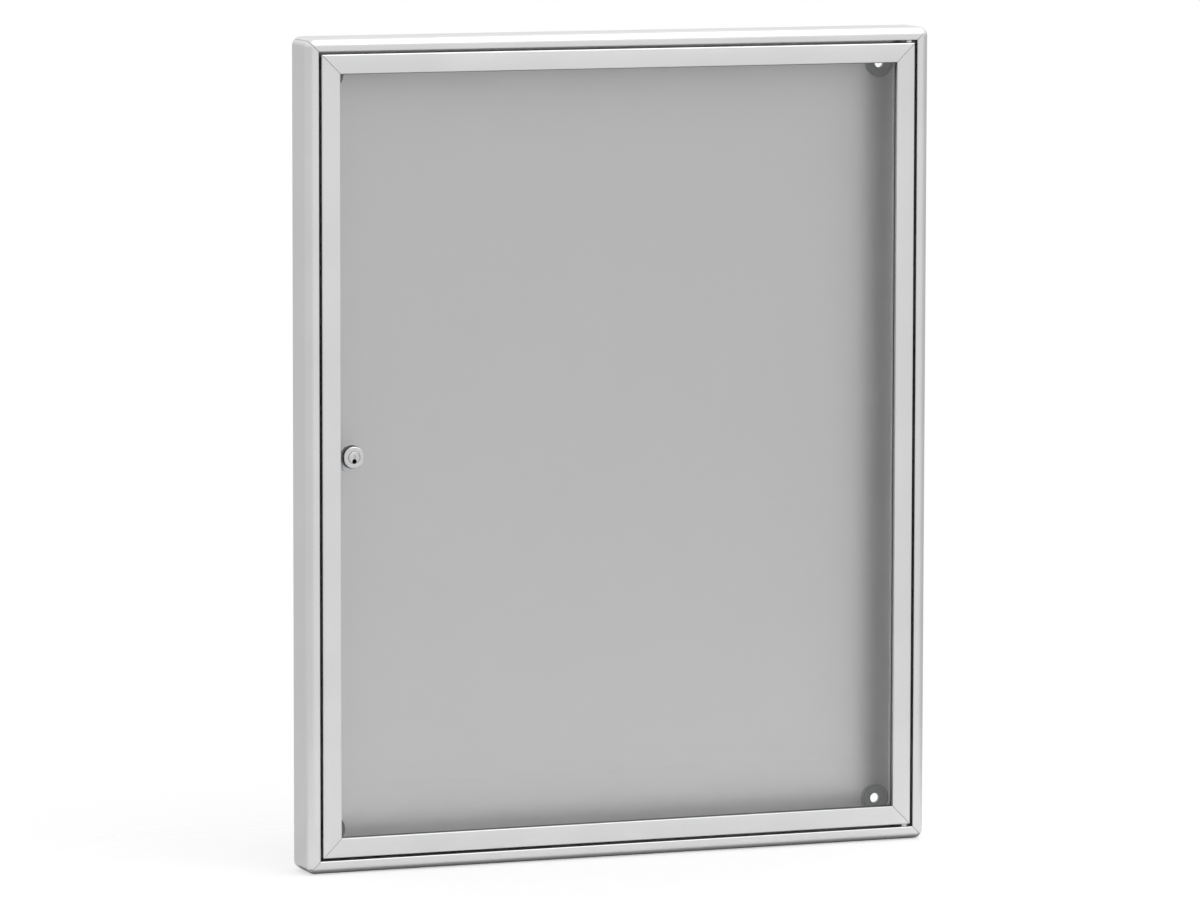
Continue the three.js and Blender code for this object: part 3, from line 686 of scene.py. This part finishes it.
# %% Case section
OUTER_WALL = 4 * MM
FRONT_WALL = 3.2 * MM
WALL = 2 * MM
CORNER_ROUND = 11 * MM
LIP = 16 * MM
REAR_FLANGE = 1.7 * MM
GROOVE_DEPTH = 5 * MM
SEAT_GAP = 0.3 * MM
SHOULDER = SEAL_BASE - SEAT_GAP
GROOVE_TOP = PANEL_FRONT + SEAT_GAP
GROOVE_IN = CASE_WIDTH - GROOVE_DEPTH

FRONT_ROUND = 10 * MM
LIP_ROUND = 1.7 * MM
REAR_ROUND = 1.5 * MM
SHOULDER_ROUND = 0.6 * MM
DIE_ROUND = 0.3 * MM
GROOVE_ROUND = 0.2 * MM
CHAMBER_ROUND = 0.5 * MM
CHAMBER_FRONT_ROUND = 5 * MM

case_outline = rounded([
    (0, 0, REAR_ROUND), (CASE_WIDTH, 0, DIE_ROUND), (CASE_WIDTH, REAR_FLANGE, DIE_ROUND),
    (GROOVE_IN, REAR_FLANGE, GROOVE_ROUND), (GROOVE_IN, GROOVE_TOP, GROOVE_ROUND),
    (CASE_WIDTH, GROOVE_TOP, DIE_ROUND), (CASE_WIDTH, SHOULDER, SHOULDER_ROUND),
    (LIP, SHOULDER, DIE_ROUND), (LIP, DEPTH, LIP_ROUND), (0, DEPTH, FRONT_ROUND),
], steps=12)
chamber = (OUTER_WALL, CASE_WIDTH - WALL, GROOVE_TOP + WALL, SHOULDER - WALL)
main_chamber = rectangle(*chamber, CHAMBER_ROUND, steps=3)
lip_chamber = rounded([
    (OUTER_WALL, SHOULDER, CHAMBER_ROUND), (LIP - WALL, SHOULDER, CHAMBER_ROUND),
    (LIP - WALL, DEPTH - FRONT_WALL, CHAMBER_ROUND),
    (OUTER_WALL, DEPTH - FRONT_WALL, CHAMBER_FRONT_ROUND),
], steps=6)
print("points of the section:", len(case_outline))

# %% [markdown]
# The pivots' threaded inserts sit in holes through the lip of the top and bottom profiles, near the right
# corner, and two screws hold the strike to the left one. Holes through a wall are easiest to take out with a
# Boolean, so a plain turned cutter that reaches half a wall past both faces is placed on each hole's axis.

# %% Places of the small pieces
HINGE = [(low + high) / 2 for low, high in zip(*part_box("hinge_bush_upper"))]
LOCK = [(low + high) / 2 for low, high in zip(*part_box("lock_housing"))]
HINGE_X, HINGE_FORWARD = HINGE[0], -HINGE[1]
LOCK_X = LOCK[0]
STRIKE_LOW, STRIKE_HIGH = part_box("lock_strike")
SCREWS = {level: sum(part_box(f"strike_screw_{level}"), Vector()) / 2 for level in ("lower", "upper")}
print("hinge and lock, mm:", [round(v / MM, 1) for v in (HINGE_X, HINGE_FORWARD, LOCK_X)])


def hole(middle, axis, radius, low, high):
    """A cutter: a rod about an axis through a middle, from low to high along it."""
    return turned("cutter", middle, axis, [(0, low), (radius, low), (radius, high), (0, high)])


def pivoted(piece, side, radius, inner, outer):
    """A top or bottom piece, drilled on the pivots' axis from one height to another off the middle."""
    span = sorted(height if side == "top" else -height for height in (inner, outer))
    return drilled(piece, hole((HINGE_X, -HINGE_FORWARD, 0), "up", radius, *span))


# %% Case profiles
INSERT_HOLE = 3.1 * MM
BUSH_HOLE = 3.4 * MM
STRIKE_HOLE = 2.2 * MM
DOOR_EDGE = HALF_HEIGHT - DOOR_OUT
LIP_EDGE = HALF_HEIGHT - LIP
SIDE_METAL = dict(zip(SIDES, (RAIL_METAL, STILE_METAL, RAIL_METAL, STILE_METAL)))

for side in SIDES:
    profile = member(f"{side}_profile", side, case_outline, [main_chamber, lip_chamber], CORNER_ROUND)
    if side in ("top", "bottom"):
        profile = pivoted(profile, side, INSERT_HOLE, LIP_EDGE - WALL / 2, LIP_EDGE + 1.5 * WALL)
    if side == "left":
        for middle in SCREWS.values():
            place = (CASE_WIDTH - HALF_WIDTH, middle.y, middle.z)
            profile = drilled(profile, hole(place, "right", STRIKE_HOLE, -1.5 * WALL, WALL / 2))
    settle(profile, f"case_profile_{side}", SIDE_METAL[side])
print("case profiles:", made)

# %% [markdown]
# ## Door frame
#
# The door's frame is a slimmer bar of the same kind. Its face is flat with small rounds, its rear outer
# edge is bevelled to clear the case as the door swings, and a thin rim at its front covers the glass.

# %% Door section and members
RIM_IN = GASKET_OUT - SEAT_GAP
RIM_BACK = GASKET_FRONT + SEAT_GAP
REAR_BEVEL = 3 * MM
BEVEL_ROUND = 0.6 * MM
DOOR_ROUND = 1.8 * MM
SIGHT_ROUND = 1.2 * MM
REBATE_ROUND = 0.5 * MM
TUBE_ROUND = 0.4 * MM
TUBE_BEVEL = REAR_BEVEL - WALL * (2 - math.sqrt(2))
TUBE_BACK = DOOR_BACK + WALL
TUBE_FRONT = DEPTH - WALL

door_outline = rounded([
    (DOOR_OUT + REAR_BEVEL, DOOR_BACK, BEVEL_ROUND),
    (RIM_IN, DOOR_BACK, REBATE_ROUND), (RIM_IN, RIM_BACK, GROOVE_ROUND),
    (SIGHT, RIM_BACK, DIE_ROUND), (SIGHT, DEPTH, SIGHT_ROUND),
    (DOOR_OUT, DEPTH, DOOR_ROUND),
    (DOOR_OUT, DOOR_BACK + REAR_BEVEL, BEVEL_ROUND),
], steps=7)
door_chamber = rounded([
    (DOOR_OUT + WALL + TUBE_BEVEL, TUBE_BACK, TUBE_ROUND),
    (RIM_IN - WALL, TUBE_BACK, TUBE_ROUND), (RIM_IN - WALL, TUBE_FRONT, TUBE_ROUND),
    (DOOR_OUT + WALL, TUBE_FRONT, TUBE_ROUND),
    (DOOR_OUT + WALL, TUBE_BACK + TUBE_BEVEL, TUBE_ROUND),
], steps=3)
for side in SIDES:
    kind = "rail" if side in ("top", "bottom") else "stile"
    bar = member(f"{side}_door_{kind}", side, door_outline, [door_chamber])
    if kind == "rail":
        bar = pivoted(bar, side, BUSH_HOLE, DOOR_EDGE - 1.5 * WALL, DOOR_EDGE + WALL / 2)
    settle(bar, f"door_{kind}_{side}", SIDE_METAL[side])
print("pieces:", len(made))

# %% [markdown]
# ## Strips: seals, gaskets and beads
#
# A hollow rubber seal with a rounded crown lies on the shoulder of the case, a flat rubber gasket lies
# between the rim and the glass, and a hard bevelled bead of grey vinyl holds the glass from behind. All
# three are strips with mitred ends, so they are members too, with smaller sections.

# %% Strips
CROWN = (SEAL_IN - SEAL_OUT) / 2
CROWN_ROUND = 0.98 * CROWN
SEAL_WALL = 0.9 * MM
GASKET_ROUND = 0.22 * MM
BEAD_BEVEL = 3.5 * MM
BEAD_ROUND = 0.4 * MM

seal_outline = rounded([
    (SEAL_OUT, SEAL_BASE, DIE_ROUND), (SEAL_IN, SEAL_BASE, DIE_ROUND),
    (SEAL_IN, SEAL_CROWN, CROWN_ROUND), (SEAL_OUT, SEAL_CROWN, CROWN_ROUND),
], steps=10)
seal_chamber = circle(CROWN - SEAL_WALL, (SEAL_OUT + CROWN, SEAL_CROWN - CROWN), 24)
gasket_outline = rectangle(GASKET_OUT, GASKET_IN, GASKET_BACK, GASKET_FRONT, GASKET_ROUND, steps=3)
bead_outline = rounded([
    (BEAD_OUT, BEAD_BACK, BEAD_ROUND), (BEAD_IN - BEAD_BEVEL, BEAD_BACK, BEAD_ROUND),
    (BEAD_IN, BEAD_BACK + BEAD_BEVEL, BEAD_ROUND),
    (BEAD_IN, BEAD_FRONT, BEAD_ROUND), (BEAD_OUT, BEAD_FRONT, BEAD_ROUND),
], SMALL_ARC)
for side in SIDES:
    settle(member(f"{side}_seal", side, seal_outline, [seal_chamber]), f"door_seal_{side}", RUBBER)
    settle(member(f"{side}_gasket", side, gasket_outline), f"glass_gasket_{side}", RUBBER)
    settle(member(f"{side}_bead", side, bead_outline), f"glazing_bead_{side}", VINYL)
print("pieces:", len(made))

# %% [markdown]
# ## Glass and back panel
#
# Both are flat sheets. The glass has ground edges, small rounds at its corners and the hole that the lock
# passes through. The steel panel has a hole at each corner for a sleeve.

# %% Sheets
GLASS_ARRIS = 0.5 * MM
GLASS_CORNER = 2 * MM
LOCK_HOLE = 10.5 * MM
PANEL_EDGE = 0.15 * MM
PANEL_CORNER = 1 * MM
SLEEVE_HOLE = 9.8 * MM
CORNERS = ("upper_left", "upper_right", "lower_right", "lower_left")

fixings = {corner: sum(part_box(f"wall_sleeve_{corner}"), Vector()) / 2 for corner in CORNERS}
lock_hole = circle(LOCK_HOLE, (LOCK_X, 0))
sleeve_holes = [circle(SLEEVE_HOLE, (place.x, place.z)) for place in fixings.values()]
outline = sheet(GLASS_OUT, GLASS_CORNER)
pane = block("door_pane", outline, [lock_hole], GLASS_BACK, GLASS_FRONT, GLASS_ARRIS)
settle(pane, "door_glass", GLASS)
outline = sheet(PANEL_OUT, PANEL_CORNER)
panel = block("back_sheet", outline, sleeve_holes, PANEL_BACK, PANEL_FRONT, PANEL_EDGE)
settle(panel, "back_panel", PANEL_COAT)
print("sleeve holes at, mm:", [(round(place.x / MM), round(place.z / MM)) for place in fixings.values()])

# %% [markdown]
# ## Wall sleeves
#
# A moulded grey sleeve sits in each corner of the panel. The wall screw's washer lands in the shallow ring
# in the middle of its flange, and a groove near the flange's edge can take a snap-on cover, which shows as
# a dark ring. It is a turned shape: the profile below runs from the bore out and back again, in rows of
# radius, distance from the panel's rear, and the round at that corner.

# %% Sleeves
sleeve_profile = in_mm([
    (6, 0, 0.2), (9.5, 0, 0.6), (9.5, 3.8, 0.2),  # the neck, through the panel
    (18, 3.8, 0.3), (18, 6.3, 1.1),  # the flange's rim
    (16, 6.3, 0.2), (16, 4.9, 0.1), (14.6, 4.9, 0.1), (14.6, 6.3, 0.2),  # the groove for a cover
    (10, 6.3, 0.35), (10, 5.3, 0.2), (6, 5.3, 0.4),  # the shallow ring round the bore
])
for corner, place in fixings.items():
    sleeve = turned(f"{corner}_sleeve", (place.x, 0, place.z), "forward", sleeve_profile)
    settle(sleeve, f"wall_sleeve_{corner}", SLEEVE)
print("pieces:", len(made))

# %% [markdown]
# ## Pivots
#
# A chromed pin with a flange screws up into the lip and drops into a nylon bush in the door, and the same
# pair stands below. The flange bridges the gap between door and lip, where it shows as a bright collar. The
# rows give radius, distance from the door's edge, and round.

# %% Pins and bushes
DOOR_GAP = 3.0
FLANGE_LOW, FLANGE_HIGH = 0.3, DOOR_GAP - 0.3
pin_profile = in_mm([
    (0, -12, 0), (2, -12, 0.5), (2, FLANGE_LOW, 0.1),  # the journal, in the bush
    (4.8, FLANGE_LOW, 0.3), (4.8, FLANGE_HIGH, 0.3),  # the flange, in the gap
    (1.8, FLANGE_HIGH, 0.1), (1.8, 9, 0.3), (0, 9, 0),  # the screwed end, in the lip's insert
])
bush_profile = in_mm([(2.2, -14, 0.2), (3.1, -14, 0.3), (3.1, 0, 0.2), (2.2, 0, 0.2)])
for level, flip in (("upper", 1), ("lower", -1)):
    place = (HINGE_X, -HINGE_FORWARD, flip * DOOR_EDGE)
    settle(turned(f"{level}_pivot_pin", place, "up", pin_profile, flip), f"hinge_pin_{level}", CHROME)
    settle(turned(f"{level}_pivot_bush", place, "up", bush_profile, flip), f"hinge_bush_{level}", NYLON)
print("pieces:", len(made))

# %% [markdown]
# ## Cam lock
#
# The lock's chromed housing passes through the glass, with its flange in front and a washer and nut behind.
# Its plug turns inside and shows a keyhole: a slot over a round hole, with a dust shutter just behind the
# slot. Behind the plug a square tail carries the cam, and a nut on a stud holds it. The ring behind the
# flange is moulded as the sleeves are. All but the cam and the shutter are turned, from rows of radius,
# distance forward of the wall, and round.

# %% Housing, gasket, washer and nuts, sizes in mm
LOCK_PLACE = (LOCK_X, 0, 0)
PLUG_BORE, BARREL, ROUND_BARREL, FLANGE = 7.45, 9.8, 10.1, 13
BARREL_END, FLANGE_BACK, FLANGE_FRONT = 27.6, 49.4, 51.9
NUT_FACE = 0.96
NUT_SLOPE = math.tan(math.radians(30))


def scaled(rows):
    """A profile's rows in metres, where some rows go on with the sides and slope of a polygon."""
    return [(radius * MM, along * MM, *polygon) for radius, along, *polygon in rows]


def nut_profile(across_flats, bore, back, front):
    """A nut's profile: faces a little smaller than its flats, and six flats that end on cones."""
    half = across_flats / 2
    face = NUT_FACE * half
    lower, upper = back + NUT_SLOPE * (half - face), front - NUT_SLOPE * (half - face)
    return scaled([
        (bore, back), (face, back),
        (half, lower, 6, NUT_SLOPE), (half, upper, 6, -NUT_SLOPE),
        (face, front), (bore, front),
    ])


housing_profile = in_mm([
    (PLUG_BORE, BARREL_END, 0.2), (BARREL, BARREL_END, 0.4), (BARREL, FLANGE_BACK, 0.1),
    (FLANGE, FLANGE_BACK, 0.3), (FLANGE, FLANGE_FRONT, 1.3), (PLUG_BORE, FLANGE_FRONT, 0.3),
], 6)
ring_profile = in_mm([
    (ROUND_BARREL, 48.3, 0.15), (11.9, 48.3, 0.15), (11.9, 49.1, 0.15), (ROUND_BARREL, 49.1, 0.15),
])
washer_profile = in_mm([
    (ROUND_BARREL, 40.7, 0.3), (14, 40.7, 0.8), (14, 43.7, 0.2), (ROUND_BARREL, 43.7, 0.2),
])
for name, node, profile, finish in (
    ("lock_barrel", "lock_housing", housing_profile, CHROME),
    ("lock_ring", "lock_front_gasket", ring_profile, SLEEVE),
    ("lock_washer", "lock_rear_washer", washer_profile, BLACK),
    ("barrel_nut", "lock_nut", nut_profile(24, ROUND_BARREL, 35.4, 40.4), ZINC),
    ("cam_stud_nut", "cam_nut", nut_profile(10, 3.3, 21.5, 24.5), ZINC),
):
    settle(turned(name, LOCK_PLACE, "forward", profile), node, finish)
print("pieces:", len(made))

# %% [markdown]
# The keyhole is a slot that breaks into a round hole below it. A block of that outline, cut out of the
# plug's face, leaves the keyway, and the shutter closes it just behind the face.

# %% Plug, keyway and shutter, sizes in mm
CAM_BACK = 24.8
TAIL_END = CAM_BACK - 5.5
STUD, TAIL_HALF, PLUG_ROUND = 3, 3.5, 7.2
KEY_HALF, KEY_TOP = 1.2, 2.6
KEY_HOLE, KEY_HOLE_DOWN = 2.8, 4.6
KEY_ARC = (115.4, 424.6, 33)  # from one side of the slot round to the other: degrees, and points
KEY_DEEP, KEY_BEYOND, KEY_EDGE = 12, 5, 0.05
LEAF = np.array([(-0.9, -1.7, 0.2), (0.9, -1.7, 0.2), (0.9, 2.3, 0.2), (-0.9, 2.3, 0.2)])
LEAF_BACK, LEAF_FRONT, LEAF_EDGE = 1, 0.6, 0.08

plug = turned("lock_core", LOCK_PLACE, "forward", scaled([
    (0, TAIL_END), (2.6, TAIL_END), (STUD, CAM_BACK - 5.1), (STUD, CAM_BACK + 0.3),  # stud
    (TAIL_HALF, CAM_BACK + 0.3, 4), (TAIL_HALF, BARREL_END, 4),  # square tail, of four sides
    (PLUG_ROUND, BARREL_END), (PLUG_ROUND, PLUG_FRONT - 0.6),
    (7.05, PLUG_FRONT - 0.2), (6.7, PLUG_FRONT), (0, PLUG_FRONT),  # softened rim and face
]))
arc = np.radians(np.linspace(*KEY_ARC))
key_hole = np.column_stack([KEY_HOLE * np.cos(arc), KEY_HOLE * np.sin(arc) - KEY_HOLE_DOWN])
keyway = np.vstack([[(KEY_HALF, KEY_TOP), (-KEY_HALF, KEY_TOP)], key_hole]) * MM + [LOCK_X, 0]
depths = (PLUG_FRONT - KEY_DEEP) * MM, (PLUG_FRONT + KEY_BEYOND) * MM
plug = drilled(plug, block("cutter", keyway, [], *depths, KEY_EDGE * MM))
settle(plug, "lock_plug", PLUG)
leaf = rounded(LEAF * MM + [LOCK_X, 0, 0], steps=3)
depths = (PLUG_FRONT - LEAF_BACK) * MM, (PLUG_FRONT - LEAF_FRONT) * MM
settle(block("lock_shutter", leaf, [], *depths, LEAF_EDGE * MM), "keyway_shutter", CHROME)
print("pieces:", len(made))

# %% [markdown]
# The cam is a pressed arm with a square hole, which sits on the plug's tail. It closes behind the strike, an
# angle of bent sheet steel that two screws hold to the left profile. A slot across each screw's head is cut
# out with a thin block.

# %% Cam
CAM_HALF = 7 * MM
CAM_DOWN = 20 * MM
CAM_ROUND = 6.99 * MM
CAM_THICK = 2.5
SQUARE_HALF = 3.8 * MM
PRESSED_EDGE = 0.3 * MM

arm = rectangle(LOCK_X - CAM_HALF, LOCK_X + CAM_HALF, -CAM_DOWN, CAM_HALF, CAM_ROUND, steps=24)
sides = (LOCK_X - SQUARE_HALF, LOCK_X + SQUARE_HALF, -SQUARE_HALF, SQUARE_HALF)
square = rectangle(*sides, PRESSED_EDGE, steps=2)
cam = block("lock_arm", arm, [square], CAM_BACK * MM, (CAM_BACK + CAM_THICK) * MM, PRESSED_EDGE)
settle(cam, "lock_cam", ZINC)

# %% Strike and its screws
STEEL = 2 * MM
INNER_BEND = 1 * MM
ROLLED_EDGE = 0.4 * MM
SHEARED_EDGE = 0.5 * MM
HEAD = 2.2
SLOT_HALF = 0.45 * MM
SLOT_DEEP = 1 * MM
SLOT_REACH = 5 * MM
SLOT_ROUND = 0.1 * MM
SLOT_EDGE = 0.02 * MM

left, right = STRIKE_LOW.x, STRIKE_HIGH.x
back, front = -STRIKE_HIGH.y, -STRIKE_LOW.y
strike_outline = rounded([
    (left, back, ROLLED_EDGE), (left + STEEL, back, ROLLED_EDGE),
    (left + STEEL, front - STEEL, INNER_BEND), (right, front - STEEL, SHEARED_EDGE),
    (right, front, SHEARED_EDGE), (left, front, INNER_BEND + STEEL),
])
strike = block("strike_angle", strike_outline, [], STRIKE_LOW.z, STRIKE_HIGH.z, PRESSED_EDGE, standing)
screw_profile = in_mm([
    (0, -9, 0), (1.9, -9, 0.5), (1.9, 0, 0.1),  # shank
    (3.6, 0, 0.2), (3.6, HEAD, 1.3), (0, HEAD, 0),  # head
], 6)
for level, middle in SCREWS.items():
    through = hole((left + STEEL / 2, middle.y, middle.z), "right", STRIKE_HOLE, -STEEL, STEEL)
    strike = drilled(strike, through)
    seat = (left + STEEL + SEAT_GAP, middle.y, middle.z)
    screw = turned(f"{level}_screw", seat, "right", screw_profile)
    top = seat[0] + HEAD * MM
    sides = (top - SLOT_DEEP, top + SLOT_DEEP, -middle.y - SLOT_REACH, -middle.y + SLOT_REACH)
    slot = rectangle(*sides, SLOT_ROUND, steps=1)
    cutter = block("cutter", slot, [], middle.z - SLOT_HALF, middle.z + SLOT_HALF, SLOT_EDGE, standing)
    settle(drilled(screw, cutter), f"strike_screw_{level}", ZINC)
settle(strike, "lock_strike", ZINC)
print("pieces:", len(made))

# %% [markdown]
# ## What stays as it was packed
#
# The cast corner cleats are inside the chambers, and the pivots' threaded inserts are in the lip. Their
# solids already have the right shape, so they only take their finish.

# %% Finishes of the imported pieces
HIDDEN_FINISH = {"case_cleat": CAST, "door_cleat": CAST, "hinge_insert": ZINC}

for name, node in frame["nodes"].items():
    for start, material in HIDDEN_FINISH.items():
        if name.startswith(start):
            node.data.materials.clear()
            node.data.materials.append(material)
            made.append(name)
print("nodes with a finish:", len(made), "of", len(frame["nodes"]))

# %% [markdown]
# ## Floor
#
# The board stands in plain soft studio light on matt, almost white paper. The paper fades out with the
# distance from the board's foot, so it has no far edge against the backdrop. The camera sees only a share of
# it, which keeps the shadow faint, and metal and glass see all of it near the foot. In what they mirror the
# paper carries painted shade close to the foot and behind the board, where little light gets in. How far a
# point is from the foot is the length of what its distances from the middle exceed the half sides by.

# %% Floor
FLOOR_REACH = 40.0
FLOOR_DROP = 1 * MM
PAPER_SEEN = 0.42
CAMERA_FADE = 0.9
MIRROR_FADE = (0.15, 0.9)
# painted shade: how far from the foot it reaches, where behind the board it lies, and how dark it is there
PAINTED_CONTACT_REACH = 0.007
BEHIND = (-0.1, 0.1)
BEHIND_SHADE = 0.35
SMOOTH = {"interpolation_type": "SMOOTHSTEP"}


def from_foot(tree, place):
    """How far a point of the floor is from the rectangle that the board stands on."""
    off = add(tree, VECTOR_MATH, {1: (0, DEPTH / 2, 0)}, {0: place}, operation="ADD")
    apart = add(tree, VECTOR_MATH, links={0: off}, operation="ABSOLUTE")
    foot = (HALF_WIDTH, DEPTH / 2, FLOOR_REACH)
    past = add(tree, VECTOR_MATH, {1: foot}, {0: apart}, operation="SUBTRACT")
    beyond = add(tree, VECTOR_MATH, {1: (0, 0, 0)}, {0: past}, operation="MAXIMUM")
    return add(tree, VECTOR_MATH, links={0: beyond}, operation="LENGTH").outputs["Value"]


def paper_colour(tree, place, away, mirrored):
    """White paper, with painted shade that metal and glass see right at the foot and behind the board."""
    depth = add(tree, "ShaderNodeSeparateXYZ", links={0: place}).outputs["Y"]
    # painted shade: the paper turns towards grey within a few millimetres of the foot and behind the board
    painted_contact_shade = add(tree, RANGE, limits(0, PAINTED_CONTACT_REACH, 1, 0), {"Value": away}, **SMOOTH)
    painted_rear_shade = add(tree, RANGE, limits(*BEHIND, 0, BEHIND_SHADE), {"Value": depth}, **SMOOTH)
    shade = add(tree, MATH, links={0: painted_contact_shade, 1: painted_rear_shade}, operation="MAXIMUM")
    shaded = add(tree, MATH, links={0: mirrored, 1: shade}, operation="MULTIPLY")
    colours = {COLOUR_A: linear("#e8e8e8"), COLOUR_B: linear("#969696")}
    return add(tree, MIX, colours, {"Factor": shaded}, data_type="RGBA").outputs[MIXED]


def paper_floor():
    """Matt paper near the board, which turns clear further off and shows the backdrop."""
    material, tree, place = new_material("white_paper_floor")
    away = from_foot(tree, place)
    path = add(tree, "ShaderNodeLightPath").outputs
    rays = {0: path["Is Glossy Ray"], 1: path["Is Transmission Ray"]}
    mirrored = add(tree, MATH, links=rays, operation="MAXIMUM")
    paper = add(tree, "ShaderNodeBsdfDiffuse", links={"Color": paper_colour(tree, place, away, mirrored)})
    clear = add(tree, "ShaderNodeBsdfTransparent", {"Color": (1, 1, 1, 1)})
    fading = limits(0, CAMERA_FADE, 1 - PAPER_SEEN, 1)
    seen = add(tree, RANGE, fading, {"Value": away}, **SMOOTH)
    to_camera = add(tree, MATH, links={0: path["Is Camera Ray"], 1: seen}, operation="MULTIPLY")
    far = add(tree, RANGE, limits(*MIRROR_FADE), {"Value": away}, **SMOOTH)
    to_mirror = add(tree, MATH, links={0: mirrored, 1: far}, operation="MULTIPLY")
    share = add(tree, MATH, links={0: to_camera, 1: to_mirror}, operation="MAXIMUM")
    mixed = add(tree, "ShaderNodeMixShader", links={0: share, 1: paper, 2: clear})
    add(tree, "ShaderNodeOutputMaterial", links={"Surface": mixed})
    return material


r, z = FLOOR_REACH, -HALF_HEIGHT - FLOOR_DROP
level = mesh_of([(-r, -r, z), (r, -r, z), (r, r, z), (-r, r, z)], [], [(0, 1, 2, 3)])
floor = bpy.data.objects.new("floor", level)
floor.data.materials.append(paper_floor())
bpy.context.scene.collection.objects.link(floor)
floor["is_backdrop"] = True
print("floor at, mm:", round(z / MM))

# %% [markdown]
# ## Sky and lamp
#
# Metal shows what is around it, so the sky does most of the shading on the frame. It is a little brighter
# above. From eye level down it is brightest in front and slightly to the right, dimmer all round that, and
# dimmest behind the board to its right, which shapes the rounds of the frame. One large lamp in front, to
# the right and above lights the board and leaves the soft shadow at its foot. The camera sees plain white.

# %% Sky
SKY_LEVEL = 0.985
SKY_TOP = 1.14
TOP_FROM = 0.6
BELOW_EYE = (0.0, 0.28)
DIM_WAY = (0.76, 0.65, 0.0)
DIM_SPAN = (-0.3, 0.9)
DIM_SHARE = 0.2
BRIGHT_WAY = (0.26, -0.966, 0.0)
BRIGHT_SPAN = (0.8, 0.95)
AROUND_SHARE = 0.17


def sky_strength(tree):
    """A level that rises with height, times what each dimmer part of the sky keeps of it at eye level."""
    way = add(tree, "ShaderNodeTexCoord").outputs["Generated"]
    height = add(tree, "ShaderNodeSeparateXYZ", links={0: way}).outputs["Z"]
    levels = limits(0, TOP_FROM, SKY_LEVEL, SKY_TOP)
    rising = add(tree, RANGE, levels, {"Value": height}, **SMOOTH)
    low = add(tree, RANGE, limits(*BELOW_EYE, 1, 0), {"Value": height}, **SMOOTH)
    dim_side = (DIM_WAY, limits(*DIM_SPAN, 0, 1), DIM_SHARE)
    around = (BRIGHT_WAY, limits(*BRIGHT_SPAN, 1, 0), AROUND_SHARE)
    kept = []
    for middle, span, taken in (dim_side, around):
        cosine = add(tree, VECTOR_MATH, {1: middle}, {0: way}, operation="DOT_PRODUCT")
        part = add(tree, RANGE, span, {"Value": cosine.outputs["Value"]}, **SMOOTH)
        dimmed = add(tree, MATH, links={0: part, 1: low}, operation="MULTIPLY")
        kept.append(add(tree, MATH, {1: -taken, 2: 1.0}, {0: dimmed}, operation="MULTIPLY_ADD"))
    both = add(tree, MATH, links={0: kept[0], 1: kept[1]}, operation="MULTIPLY")
    return add(tree, MATH, links={0: rising, 1: both}, operation="MULTIPLY")


def make_sky():
    """A world that is white to the camera and lights the board by the strength above."""
    world = bpy.data.worlds.new("studio")
    bpy.context.scene.world = world
    world.use_nodes = True
    tree = world.node_tree
    tree.nodes.clear()
    light = add(tree, "ShaderNodeBackground", {"Color": (1, 1, 1, 1)}, {"Strength": sky_strength(tree)})
    white = add(tree, "ShaderNodeBackground", {"Color": (1, 1, 1, 1), "Strength": 1.0})
    seen = add(tree, "ShaderNodeLightPath").outputs["Is Camera Ray"]
    mixed = add(tree, "ShaderNodeMixShader", links={0: seen, 1: light, 2: white})
    add(tree, "ShaderNodeOutputWorld", links={"Surface": mixed})


make_sky()

# %% Lamp
LAMP_PLACE = Vector((1.3, -1.5, 2.9))
LAMP_TARGET = Vector((0, -0.2, -0.4))
LAMP_SIZE = (4.6, 3.6)
LAMP_WATTS = 72.0

lamp = bpy.data.objects.new("key", bpy.data.lights.new("key", "AREA"))
lamp.data.shape = "RECTANGLE"
lamp.data.size, lamp.data.size_y = LAMP_SIZE
lamp.data.energy = LAMP_WATTS
lamp.location = LAMP_PLACE
lamp.rotation_euler = (LAMP_TARGET - LAMP_PLACE).to_track_quat("-Z", "Y").to_euler()
bpy.context.scene.collection.objects.link(lamp)
bpy.context.scene.view_settings.view_transform = "Standard"
print("lamps:", len(bpy.data.lights))

# %% Sizes before and after, then finish
before_after = {"cad": [list(corner) for corner in CAD_BOX], "visual": [list(corner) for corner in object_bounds()]}
grown = np.subtract(before_after["visual"], before_after["cad"]) / MM
print("visual minus packed, mm:", grown.round(2).tolist())
